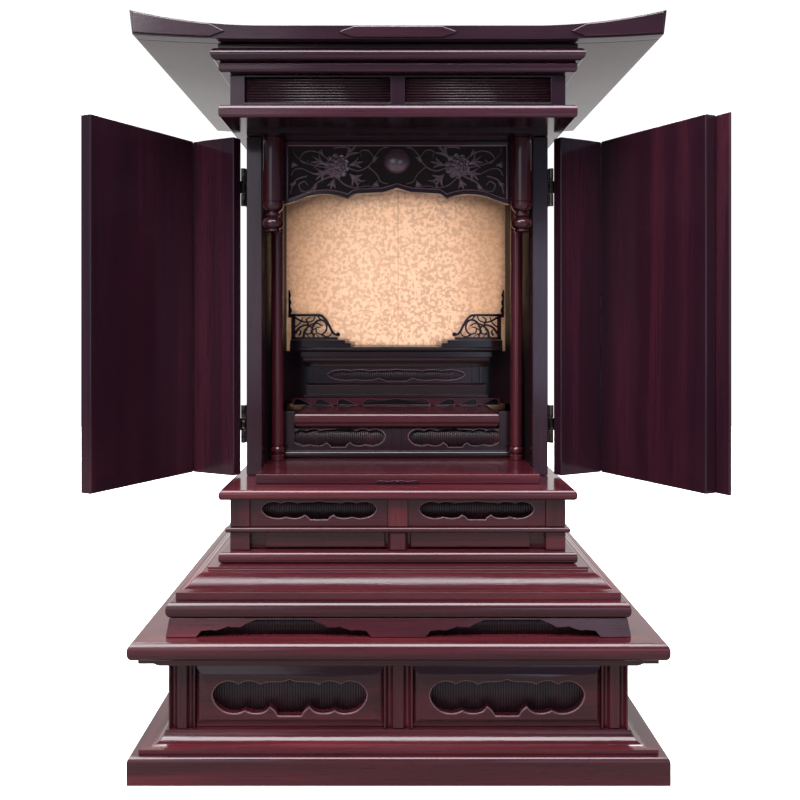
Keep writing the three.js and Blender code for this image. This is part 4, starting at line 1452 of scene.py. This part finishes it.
    def build(self, name: str, base_y: float, back_y: float) -> bpy.types.Object:
        """The carving as a closed slab whose front follows the heights.

        Args:
            name: The object's name.
            base_y: The sunk field's depth.
            back_y: The slab's back face.

        Returns:
            The object.
        """
        edge = self.outline
        inside = np.zeros(self.x.shape, bool)
        for (ax, az), (bx, bz) in zip(edge, np.roll(edge, -1, axis=0)):
            crosses = (az > self.z) != (bz > self.z)
            with np.errstate(divide="ignore", invalid="ignore"):
                at = ax + (self.z - az) * (bx - ax) / (bz - az)
            inside ^= crosses & (self.x < at)
        rows, columns = self.x.shape
        cells = inside[:-1, :-1] & inside[1:, :-1] & inside[:-1, 1:] & inside[1:, 1:]
        index = np.arange(rows * columns).reshape(rows, columns)
        points = np.stack([self.x, base_y - self.height, self.z], -1).reshape(-1, 3)
        r, c = np.nonzero(cells)
        faces = np.stack([index[r, c], index[r, c + 1], index[r + 1, c + 1], index[r + 1, c]], -1)
        used, packed = np.unique(faces, return_inverse=True)
        mesh = bpy.data.meshes.new(name)
        mesh.from_pydata((points[used] * MM).tolist(), [], packed.reshape(faces.shape).tolist())
        solid = bmesh.new()
        solid.from_mesh(mesh)
        rim = [edge for edge in solid.edges if edge.is_boundary]
        walls = bmesh.ops.extrude_edge_only(solid, edges=rim)["geom"]
        for vert in (item for item in walls if isinstance(item, bmesh.types.BMVert)):
            vert.co.y = back_y * MM
        back = [edge for edge in solid.edges if edge.is_boundary]
        bmesh.ops.edgeloop_fill(solid, edges=back)
        bmesh.ops.recalc_face_normals(solid, faces=solid.faces)
        for face in solid.faces:
            face.smooth = True
        solid.to_mesh(mesh)
        solid.free()
        return into_scene(name, mesh)


@dataclass
class Transom:
    """The carved transom: a waved frame round peonies, leaves, vines and a plain boss."""

    half: float = 105.3
    front: float = 70.4
    thick: float = 8.0
    top: float = 523.7
    band: float = 4.6
    sunk: float = 3.6
    lug_half: float = 123.5
    pitch: float = 0.36
    vine_height: float = 2.1
    leaf_height: float = 3.0
    peony: tuple[float, ...] = (56.0, 501.3, 8.6, 3.9)
    boss: tuple[float, ...] = (0.0, 506.2, 12.4, 6.6, 0.95)
    edge: tuple[Point2, ...] = (
        (0, 480.7), (6.5, 478.7), (11.2, 477.3), (15.8, 476.5), (34.3, 475.6), (40.7, 474.5), (45.8, 471.0),
        (53, 473.2), (62, 474.7), (71, 474.7), (80.5, 473.2), (89.7, 469.9), (100.8, 466.2), (105.3, 465.6))

    VINES = (
        ([(-52, 496), (-64, 508), (-76, 515), (-86, 514), (-90, 508), (-86, 504), (-82, 507)], 2.0),
        ([(-60, 500), (-72, 501), (-86, 505), (-95, 512), (-97, 518)], 1.8),
        ([(-64, 494), (-76, 494), (-88, 499), (-95, 498), (-98, 493)], 1.8),
        ([(-62, 492), (-74, 486), (-80, 479), (-88, 478), (-91, 484), (-86, 487), (-83, 484)], 2.0),
        ([(-84, 492), (-93, 489), (-97, 483), (-99, 476)], 1.6),
        ([(-56, 491), (-48, 484), (-38, 481), (-28, 483), (-20, 481)], 1.8),
        ([(-50, 508), (-42, 516), (-50, 519), (-58, 518)], 1.7),
        ([(-46, 500), (-36, 497), (-27, 501), (-22, 509), (-27, 516), (-34, 515), (-33, 510)], 2.0),
        ([(-27, 501), (-19, 494), (-15, 487), (-9, 485)], 1.8),
        ([(-22, 509), (-15, 517), (-9, 519)], 1.6),
        ([(-38, 481), (-34, 487), (-29, 488)], 1.4),
    )
    SPRAYS = (
        (-66, 503, 160, 15, 4), (-64, 497, 205, 15, 4), (-44, 494, 318, 15, 4), (-45, 502, 14, 14, 3),
        (-49, 508, 48, 17, 3), (-58, 490, 250, 11, 3), (-92, 502, 172, 7, 3), (-18, 488, 250, 8, 3),
        (-68, 510, 120, 8, 2), (-94, 486, 210, 6, 2), (-22, 505, 60, 7, 2), (-74, 484, 230, 7, 2),
    )

    def outline(self, inset: float) -> list[Point2]:
        """The transom's outline.

        Args:
            inset: How far it is drawn in.

        Returns:
            The outline, counter-clockwise, with every wave smoothed.
        """
        reach = self.half - inset
        waves = smooth(self.edge[:7], 5)[:-1] + smooth(self.edge[6:], 5)
        half = [(x, z + inset) for x, z in waves if x < reach - 1]
        half.append((reach, self.edge[-1][1] + inset))
        corner = (reach, self.top - inset)
        return mirrored(half[1:]) + half + [corner, (-corner[0], corner[1])]

    def carve(self, relief: Relief) -> None:
        """Cuts the flowers, leaves and vines on both sides of the middle.

        Args:
            relief: The surface to carve.
        """
        for sign in (-1, 1):
            for path, width in self.VINES:
                relief.vine([(x * -sign, z) for x, z in path], width * 0.9, self.vine_height)
            for x, z, degrees, length, fingers in self.SPRAYS:
                turned = degrees if sign < 0 else 180 - degrees
                relief.spray(-sign * x, z, turned, length, fingers, self.leaf_height)
            x, *rest = self.peony
            relief.peony(x * sign, *rest)
        relief.boss(*self.boss)

    def build(self) -> None:
        """Makes the frame and the carving in place of the plain transom."""
        frame_piece = pierced_plate("transom_frame", [self.outline(0), self.outline(0)],
                                    [-self.front, -self.front + self.thick], [self.outline(self.band)], 1.0)
        ease(frame_piece, Arris(0.9, 3, 50))
        # The frame's rounded inner lip takes a painted highlight.
        dress(frame_piece, rosewood(Grain.ALONG_X, 2), "cabinet", "transom", trim=painted_highlight_edge())
        lugs = Draft()
        for sign in (-1, 1):
            x0, x1 = sorted((sign * (self.half + 0.1), sign * self.lug_half))
            lugs.box((x0, -self.front + 3, 470), (x1, -self.front + self.thick, self.top))
        lugs.piece("transom_lugs", FINE, rosewood(Grain.ALONG_Z, 0), "transom")
        relief = Relief(self.outline(self.band - 0.9), self.pitch)
        self.carve(relief)
        carving = relief.build("transom_carving", -self.front + self.sunk, -self.front + self.thick - 0.1)
        # The raised carving takes a lighter wood colour: a painted highlight on the relief.
        wood = Rosewood("carved_rosewood", Grain.ALONG_X, 1.0, 0.0, (0.050, 0.027, 0.037),
                        (0.110, 0.064, 0.080), (0.210, 0.130, 0.158), 0.14, gloss=1.62)
        dress(carving, wood, "cabinet", "transom")
        # A near-black sheet over the sunk field: painted shade round the carving.
        margin = self.outline(self.band - 0.6)
        depth = -self.front + self.sunk
        ground = pierced_plate("transom_ground", [margin, margin], [depth - 0.22, depth + 0.3], [])
        ground_shade = Rosewood("transom_ground_stain", Grain.ALONG_X, 2.0, 0.0, (0.012, 0.009, 0.009),
                         (0.020, 0.014, 0.014), (0.032, 0.022, 0.022), 0.50, "dark_lacquer", 1.20)
        dress(ease(ground, NONE), ground_shade, "cabinet", "transom")


@dataclass
class Altar:
    """The two altar stages inside the case, with their pierced fences."""

    RAIL = ((-109, 364.5), (-95, 364.5), (-81, 364.4), (-77.4, 362.4), (-74.2, 358.8), (-71.1, 353.6),
            (-68.4, 348.3), (-65.8, 344.8), (-62.6, 343.6))
    SCROLLS = (
        ([(-107, 345), (-103, 351), (-96, 354), (-90, 352), (-89, 347), (-93, 344.5), (-96.5, 347),
          (-94, 349.5)], 2.4),
        ([(-107, 362), (-101, 358.5), (-94, 357), (-88, 359), (-86, 363.5)], 2.2),
        ([(-89, 351), (-85, 357.5), (-79, 359.5), (-74.5, 356), (-74, 349), (-78.5, 344.5), (-84, 346),
          (-84.5, 351), (-80, 352)], 2.4),
        ([(-79, 344), (-74, 341.6), (-69.6, 343.5), (-68.2, 347.5)], 2.0),
        ([(-107, 352), (-102, 356), (-99, 362.5)], 1.8),
        ([(-100, 341), (-96, 344.5), (-92, 341.2)], 1.6),
        ([(-88, 341), (-86, 345), (-82, 341.2)], 1.6),
        ([(-83, 363.5), (-80, 360), (-76.8, 359.5)], 1.6),
        ([(-98, 341), (-97, 348), (-91, 354), (-84, 356), (-78, 353)], 2.6),
        ([(-93, 354), (-95, 360), (-91, 362.5)], 2.2),
        ([(-87, 343), (-90, 348), (-85, 350.5)], 2.4),
        ([(-103, 343), (-101, 347), (-104, 350)], 2.2),
    )
    CREST = ((-114.2, 362), (-110.4, 362), (-111.4, 366), (-110.4, 369), (-111.0, 371.6), (-112.2, 374),
             (-111.0, 378), (-112.4, 382), (-111.4, 385.6), (-113.0, 391), (-114.2, 391))

    lower_face: float = -17.0
    lower_opening: tuple[float, float, float, float] = (57.4, 243.4, 45.7, 8.6)
    upper_face: float = 56.6
    feet: Point2 = (269.9, 275.9)
    upper_opening: tuple[float, float, float, float] = (0.0, 300.8, 72.4, 5.6)

    def build(self) -> None:
        """Makes every piece of the altar."""
        polished = shadow_wood(Grain.ALONG_X, 1, POLISHED)
        refine("lower_altar_stage", polished, FINE)
        self.shelf()
        reeds = shadow_wood(Grain.ALONG_Z, 2, DULL)
        for side, sign in (("left", -1), ("right", 1)):
            start = (self.lower_opening[0] * sign - 45.0, self.lower_face + 3.0, 243.0)
            BARS.row(f"lower_altar_reeds_{side}", reeds, start, (2.0, 0, 0), 46, 1.0, 20.5, (1.0, 0.5))
        refine("upper_altar_stage", shadow_wood(Grain.ALONG_X, 2, POLISHED), FINE)
        self.waist(reeds)
        self.rail()
        self.highlight_rim("upper_altar_bead", LobedOpening(*self.upper_opening), self.upper_face)
        x, *rest = self.lower_opening
        for side, sign in (("left", -1), ("right", 1)):
            self.highlight_rim(f"lower_altar_bead_{side}", LobedOpening(x * sign, *rest), self.lower_face)
        refine("upper_altar_top", shadow_wood(Grain.ALONG_X, 3, POLISHED), Arris(0.7, 3))
        for side, sign in (("left", 1), ("right", -1)):
            self.fence(side, sign, polished)

    def shelf(self) -> None:
        """The round-nosed shelf on the lower stage."""
        low, high = node_box("altar_shelf")
        shelf = Draft()
        rings = rounded_rings(high.x, -low.y, low.z, high.z - 0.3, 5.0, 8.0, 5.7)
        shelf.loft([[(-h, -f, z), (h, -f, z), (h, high.y, z), (-h, high.y, z)] for h, f, z in rings])
        shelf.box((-high.x + 5, self.lower_face, high.z - 4), (high.x - 5, 49.2, high.z))
        shelf.piece("altar_shelf_nosing", FINE, rosewood(Grain.ALONG_X, 0, Cut.RED), "altar_shelf")

    @staticmethod
    def highlight_rim(name: str, opening: LobedOpening, face: float) -> None:
        """A fine rim round a lobed opening in a lighter colour: a painted highlight where the edge catches
        the light.

        Args:
            name: The rim's name.
            opening: The opening.
            face: The depth of the face that it lies on.
        """
        inner = opening.outline()
        outer = grown(inner, 0.8)
        plate = pierced_plate(name, [outer, outer], [face - 0.3, face + 0.4], [inner])
        # The whole rim is a painted highlight.
        dress(ease(plate, NONE), painted_highlight_edge(), "cabinet")

    def rail(self) -> None:
        """The upper stage's base rail, cut away below into small arched feet."""
        low, high = self.feet
        foot = ((0.0, 0.0), (-0.02, 0.45), (0.08, 0.88), (0.25, 1.0), (0.50, 0.72), (0.75, 0.28), (1.0, 0.0))
        holes = []
        for outer, inner in ((-108.0, -89.5), (-85.0, -66.0), (-61.5, -40.5)):
            arch = [(outer + (inner - outer) * t, low + (high - low) * rise) for t, rise in foot]
            arch = smooth(arch, 4)[::-1]
            holes += [arch, mirrored(arch)]
        half = smooth([(36.0, low), (33.0, low + 4.4), (27.0, high), (18.0, high - 1.2), (9.0, high - 0.8),
                       (0.0, high + 0.5)], 4)
        holes.append(half + mirrored(half[:-1]))
        edge = rectangle(-109.9, 109.9, 269.5, 277.2)
        piece = pierced_plate("upper_altar_rail", [edge, edge], [51.0, 51.9], holes, 0.4)
        wood = rosewood(Grain.ALONG_X, 1, Cut.RED)
        # The rounded lips of the feet take a painted highlight.
        dress(ease(piece, Arris(0.25, 2, 40)), wood, "cabinet", trim=painted_highlight_edge())

    @staticmethod
    def waist(reeds: Rosewood) -> None:
        """The reeding behind the upper stage's lobed recess and the slim posts at its ends.

        Args:
            reeds: The reeding's finish.
        """
        start = (-71.0, 60.0, 300.8)
        BARS.row("upper_altar_reeds", reeds, start, (2.0, 0, 0), 72, 1.0, 14.0, (1.0, 0.5))
        posts = Draft()
        for sign in (-1, 1):
            for inner, outer in ((87.0, 88.6), (91.2, 93.4)):
                x0, x1 = sorted((sign * inner, sign * outer))
                posts.box((x0, 55.4, 292.4), (x1, 57.4, 310.2))
        posts.piece("upper_altar_posts", FINE, shadow_wood(Grain.ALONG_Z, 1, POLISHED))

    def fence(self, side: str, sign: int, wood: Rosewood) -> None:
        """A pierced fence of scrolling foliage under a rail that sweeps down to a scroll.

        Args:
            side: Left or right.
            sign: One on the left and minus one on the right.
            wood: Its finish.
        """
        node = f"altar_fence_{side}"
        low, high = node_box(node)
        draft = Draft()
        strokes = [(smooth(self.RAIL, 6), 2.6, 2.4), ([(-111.2, 339.9), (-62, 339.9)], 2.8, 2.8),
                   ([(-109, 338.6), (-109, 366)], 4.2, 4.2)]
        strokes += [(smooth(path, 6), width, width * 0.45) for path, width in self.SCROLLS]
        for path, start, end in strokes:
            self.ribbon(draft, path, start, end, low.y, high.y, sign)
        turn = [2 * math.pi * step / 24 for step in range(24)]
        ball = [(sign * -61.6 + 2.2 * math.cos(a), 344.2 + 2.2 * math.sin(a)) for a in turn]
        draft.frontal(ball[::-1], low.y, high.y)
        draft.frontal([(x * sign, z) for x, z in self.CREST][::-sign], low.y, high.y)
        draft.piece(f"{node}_carved", Arris(0.45, 2, 40), wood, node)

    @staticmethod
    def ribbon(draft: Draft, path: Sequence[Point2], start: float, end: float, y0: float, y1: float,
               sign: int) -> None:
        """A tapering ribbon along a path, as thick as the fence.

        Args:
            draft: Where the shell goes.
            path: Points of its middle line on the left side.
            start: Its width at the first point.
            end: Its width at the last point.
            y0: Its front.
            y1: Its back.
            sign: One on the left side and minus one to mirror it.
        """
        left: list[Point2] = []
        right: list[Point2] = []
        for index, (x, z) in enumerate(path):
            ax, az = path[max(index - 1, 0)]
            bx, bz = path[min(index + 1, len(path) - 1)]
            length = math.hypot(bx - ax, bz - az) or 1.0
            width = start + (end - start) * index / (len(path) - 1)
            nx, nz = -(bz - az) / length * width / 2, (bx - ax) / length * width / 2
            left.append((sign * (x + nx), z + nz))
            right.append((sign * (x - nx), z - nz))
        draft.frontal(right + left[::-1], y0, y1)


# ---- The top -------------------------------------------------------------------------------------


@dataclass
class Top:
    """Header, slatted frieze, cornice and the flared roof with its cartouched fascia."""

    roof_half: float = 220.3
    rake: float = 2.4
    flat: float = 110.0
    fascia_front: float = 166.0
    slab_front: float = 152.0
    header: Point3 = (123.0, 105.0, 172.5)
    slats: int = 9
    eased: Arris = Arris(0.5, 2, 50)

    def build(self) -> None:
        """Makes every piece of the top."""
        self.cornice_plate()
        refine("frieze_frame", rosewood(Grain.ALONG_Z, 2), FINE)
        for side in ("left", "right"):
            self.frieze(side)
        self.cornice()
        self.roof()

    def cornice_plate(self) -> None:
        """The plate over the case, with the header board under it."""
        low, high = node_box("cornice_plate")
        bottom = 526.6

        def header(draft: Draft) -> None:
            """The board that the transom hangs from."""
            x, front, back = self.header
            draft.box((-x, -front, low.z), (x, back, bottom + 1))

        rings = rounded_rings(high.x, -low.y, bottom, high.z, 2.2, 3.0, 4.5)
        Moulding("cornice_plate", rings, 1, cut=Cut.DARK).build(extra=header)

    def frieze(self, side: str) -> None:
        """The level slats in one half of the frieze.

        Args:
            side: Left or right.
        """
        node = f"frieze_slats_{side}"
        low, high = node_box(node)
        wood = shadow_wood(Grain.ALONG_X, 2, 0.25)
        backing = Draft()
        backing.box((low.x, low.y + 1.6, low.z), tuple(high))
        backing.piece(f"{node}_backing", NONE, wood, node)
        pitch = (high.z - low.z) / self.slats
        start = ((low.x + high.x) / 2, low.y + 1.4, low.z + pitch / 2)
        BARS.row(f"{node}_bars", wood, start, (0, 0, pitch), self.slats, pitch * 0.42, high.x - low.x,
                 (1.45, 1.0), node, level=True)

    def cornice(self) -> None:
        """The three rounded cornice mouldings under the roof."""
        rings = rounded_rings(149.2, 154.7, 564.6, 573.2, 2, 3, 3)
        rings += rounded_rings(155.1, 160.6, 573.2, 583.7, 5, 5.2, 5.2)
        rings += [(149.5, 155.3, 583.7), (149.5, 155.3, 587.2), (148.5, 154.3, 588.0)]
        Moulding("roof_cornice", rings, 2, cut=Cut.DARK).build()

    def top_curve(self, x: float) -> float:
        """Height of the roof's upper surface."""
        return 599.6 + 12.7 * (max(abs(x) - self.flat, 0) / (self.roof_half - self.flat)) ** 2

    def fascia_curve(self, x: float) -> float:
        """Height of the fascia's lower edge."""
        return 588.3 + 4.0 * (max(abs(x) - self.flat, 0) / (self.roof_half - self.flat)) ** 2

    def sweep(self, lower: Callable[[float], float], upper: Callable[[float], float]) -> list[Point2]:
        """The outline between two curves from tip to tip.

        Args:
            lower: The height of the lower curve across.
            upper: The height of the upper curve across.

        Returns:
            The outline, with raked ends.
        """
        def right(reach: float, curve: Callable[[float], float]) -> list[Point2]:
            """Points from the middle flat to one tip."""
            xs = [self.flat + (reach - self.flat) * step / 30 for step in range(31)]
            return [(x, curve(x)) for x in xs]

        below = right(self.roof_half - self.rake, lower)
        above = right(self.roof_half, upper)[::-1]
        return below + above + mirrored(above) + mirrored(below)

    def cartouche(self, start: float, stop: float, pointed: bool) -> list[Point2]:
        """A band between the fascia's curves.

        Args:
            start: Its pointed end.
            stop: Its other end.
            pointed: Whether that end is pointed too.

        Returns:
            Its outline.
        """
        margin = 1.1
        first, last = start + 12, stop - 12 if pointed else stop
        xs = [first + (last - first) * step / 16 for step in range(17)]

        def middle(x: float) -> float:
            """Half way up the fascia."""
            return (self.top_curve(x) + self.fascia_curve(x)) / 2

        nick = [(start + 3.5, middle(start) - 1.6),
                (start + 8, self.fascia_curve(start + 8) + margin + 1.6)]
        outline = [(start, middle(start)), *nick] + [(x, self.fascia_curve(x) + margin) for x in xs]
        if pointed:
            outline += [(stop - 8, nick[1][1]), (stop - 3.5, nick[0][1]), (stop, middle(stop))]
            outline += [(stop - 3.5, middle(stop) + 1.6), (stop - 8, self.top_curve(stop) - margin - 1.6)]
        outline += [(x, self.top_curve(x) - margin) for x in xs[::-1]]
        outline.append((start + 8, self.top_curve(start + 8) - margin - 1.6))
        return outline + [(start + 3.5, middle(start) + 1.6)]

    def roof(self) -> None:
        """The curved slab and the fascia with its cartouches."""
        outline = self.sweep(self.fascia_curve, self.top_curve)
        slab = Draft()
        slab.frontal(outline, -self.slab_front, 205.0)
        slab.piece("roof_slab", self.eased, rosewood(Grain.ALONG_X, 1), "roof_board")
        fascia = Draft()
        fascia.frontal(outline, -self.fascia_front, -152.3)
        fascia.piece("roof_fascia_board", self.eased, rosewood(Grain.ALONG_X, 3), "roof_fascia")
        raised = Draft()
        corner = self.cartouche(142, self.roof_half - 3, False)
        for outline in (self.cartouche(-48.3, 48.3, True), corner, mirrored(corner)):
            raised.frontal(outline, -self.fascia_front - 1.5, -self.fascia_front + 0.5)
        raised.piece("roof_cartouches", Arris(0.8, 3, 40), rosewood(Grain.ALONG_X, 0), "roof_fascia")


# ---- Doors ---------------------------------------------------------------------------------------


@dataclass
class Door:
    """One rigid L-shaped door and its two outside hinges."""

    side: str
    sign: int
    seed: int
    screw_x: float = 139.2
    screw_step: float = 11.7
    screw_head: float = 1.9

    def build(self, screws: ScrewRecipe) -> None:
        """Makes the door's leaves and hinges.

        Args:
            screws: The recipe for the hinge screws.
        """
        body = f"{self.side}_door"
        refine(f"door_{self.side}_side_leaf", rosewood(Grain.ALONG_Z, self.seed), FULL, body)
        refine(f"door_{self.side}_front_leaf", rosewood(Grain.ALONG_Z, self.seed + 1), FULL, body)
        if self.side == "right":
            refine("door_astragal", rosewood(Grain.ALONG_Z, self.seed + 2), FULL, body)
        for level in ("lower", "upper"):
            refine(f"hinge_{self.side}_{level}_case_half", PATINA, Arris(0.2, 2))
            refine(f"hinge_{self.side}_{level}_door_half", BRASS, Arris(0.2, 2), body)
            low, high = node_box(f"hinge_{self.side}_{level}_case_half")
            start = (self.sign * self.screw_x * MM, (high.y - 5.0) * MM, (low.z + 5.5) * MM)
            row = screws.cook(f"hinge_{self.side}_{level}_screws", {
                "Count": 3, "Start": start, "Step": (0.0, 0.0, self.screw_step * MM),
                "Head": self.screw_head * MM, "Turn": (0.0, self.sign * math.pi / 2, 0.0),
                "Material": PATINA.material()})
            dress(row, PATINA, "cabinet")


# ---- The studio ----------------------------------------------------------------------------------


@dataclass
class Studio:
    """A plain pale floor, soft light and the camera."""

    LAMPS = (
        ("key", (-0.95, -1.35, 1.35), (0.0, -0.1, 0.25), (0.9, 0.7), 17.0, (1.0, 0.97, 0.97)),
        ("over", (0.0, -0.85, 1.9), (0.0, -0.1, 0.0), (1.6, 1.5), 100.0, (0.98, 0.97, 1.0)),
        ("window", (-1.15, -3.0, 0.85), (-0.3, 0.0, 0.35), (1.5, 1.5), 9.0, (0.97, 0.93, 1.0)),
        ("far_window", (0.75, -3.0, 0.40), (0.0, 0.0, 0.3), (0.8, 0.7), 3.0, (0.66, 0.78, 1.0)),
        ("ground", (0.0, 1.9, 2.4), (0.0, 1.2, 0.0), (3.4, 1.4), 240.0, (1.0, 1.0, 0.98)),
    )

    floor_shade: Colour = (0.165, 0.15, 0.15)
    room_front: Colour = (0.20, 0.24, 0.33)
    room_back: Colour = (1.0, 0.97, 0.97)
    backdrop: Colour = (1.1, 1.1, 1.1)
    shrine_cone: float = 19.5
    shrine_power: float = 43.0
    shrine_colour: Colour = (1.0, 0.84, 0.68)
    eye: Point3 = (-0.0066, -0.9154, 0.3531)
    lens: float = 41.175
    shift: Point2 = (0.0125, -0.0925)

    def build(self) -> None:
        """Sets the floor, the surroundings, the lamps and the camera."""
        self.floor()
        self.surroundings()
        for name, place, aim, size, power, colour in self.LAMPS:
            self.lamp(name, place, aim, size, power, colour)
        self.shrine_lamp()
        self.camera()

    def floor(self) -> None:
        """The pale ground."""
        draft = Draft()
        draft.box((-4000, -3500, -20), (4000, 2300, -0.4))
        ground = draft.build("floor")
        material = bpy.data.materials.new("pale_floor")
        material.use_nodes = True
        board = Board(material.node_tree)
        point = board.point()
        tone = board.mix(board.noise(point, 3.0, 2.0) * 0.5, (0.84, 0.84, 0.84), (0.88, 0.88, 0.88))
        seen = board.node("ShaderNodeLightPath", {}, {}, "Is Camera Ray")
        tone = board.mix(seen, self.floor_shade, tone)
        glow = board.mix(seen, (0.0, 0.0, 0.0), (0.5, 0.5, 0.5))
        shader = material.node_tree.nodes["Principled BSDF"]
        shader.inputs["Roughness"].default_value = 0.7
        shader.inputs["Emission Strength"].default_value = 1.0
        material.node_tree.links.new(glow.socket, shader.inputs["Emission Color"])
        material.node_tree.links.new(tone.socket, shader.inputs["Base Color"])
        ground.data.materials.append(material)

    def surroundings(self) -> None:
        """A white backdrop to the eye, and a dim room with a lighter far side to everything else."""
        world = bpy.data.worlds.new("pale_room")
        bpy.context.scene.world = world
        world.use_nodes = True
        board = Board(world.node_tree)
        way = board.node("ShaderNodeTexCoord", {}, {}, "Generated")
        depth = board.node("ShaderNodeSeparateXYZ", {}, {0: way}, "Y")
        room = board.mix(depth.band(-0.25, 0.35), self.room_front, self.room_back)
        seen = board.node("ShaderNodeLightPath", {}, {}, "Is Camera Ray")
        colour = board.mix(seen, room, self.backdrop)
        shader = world.node_tree.nodes["Background"]
        world.node_tree.links.new(colour.socket, shader.inputs["Color"])

    def shrine_lamp(self) -> None:
        """A narrow lamp with a soft rim that lights the gold alone."""
        light = bpy.data.lights.new("shrine", "SPOT")
        light.spot_size = math.radians(self.shrine_cone)
        light.spot_blend = 0.75
        light.shadow_soft_size = 0.06
        light.energy = self.shrine_power
        light.color = self.shrine_colour
        lamp = self.stand_up("shrine", light, (0.0, -0.90, 0.36), (0.004, 0.17, 0.388))
        receivers = bpy.data.collections.new("lit_by_the_shrine_lamp")
        receivers.objects.link(bpy.data.objects["gold_backdrop_sheet"])
        lamp.light_linking.receiver_collection = receivers

    @staticmethod
    def stand_up(name: str, light: bpy.types.Light, place: Point3, aim: Point3) -> bpy.types.Object:
        """Puts a lamp in its place.

        Args:
            name: The lamp's name.
            light: Its light.
            place: Where it stands in metres.
            aim: The point that it faces.

        Returns:
            The lamp.
        """
        made = bpy.data.objects.new(name, light)
        made.location = place
        made.rotation_euler = (Vector(aim) - Vector(place)).to_track_quat("-Z", "Y").to_euler()
        bpy.context.scene.collection.objects.link(made)
        return made

    def lamp(self, name: str, place: Point3, aim: Point3, size: Point2, power: float,
             colour: Colour) -> None:
        """A soft rectangular lamp.

        Args:
            name: The lamp's name.
            place: Where it stands in metres.
            aim: The point that it faces.
            size: Its width and height.
            power: Its strength in watts.
            colour: Its tint.
        """
        light = bpy.data.lights.new(name, "AREA")
        light.shape = "RECTANGLE"
        light.size, light.size_y = size
        light.energy = power
        light.color = colour
        self.stand_up(name, light, place, aim)

    def camera(self) -> None:
        """The level camera in front of the open doors."""
        lens = bpy.data.cameras.new("camera")
        lens.sensor_width = 36.0
        lens.lens = self.lens
        lens.shift_x, lens.shift_y = self.shift
        lens.clip_start = 0.01
        made = bpy.data.objects.new("camera", lens)
        made.location = self.eye
        made.rotation_euler = (math.pi / 2, 0.0, 0.0)
        bpy.context.scene.collection.objects.link(made)
        bpy.context.scene.camera = made
        bpy.context.scene.view_settings.view_transform = "Standard"


def main() -> None:
    """Builds every sub-assembly and the studio."""
    logging.basicConfig(level=logging.INFO, format="%(message)s")
    stand = Stand()
    stand.build()
    Neck().build(stand)
    ShrineCase().build()
    Transom().build()
    Altar().build()
    Top().build()
    screws = ScrewRecipe()
    for door in (Door("left", -1, 0), Door("right", 1, 1)):
        door.build(screws)
    Studio().build()


if __name__ == "__main__":
    main()
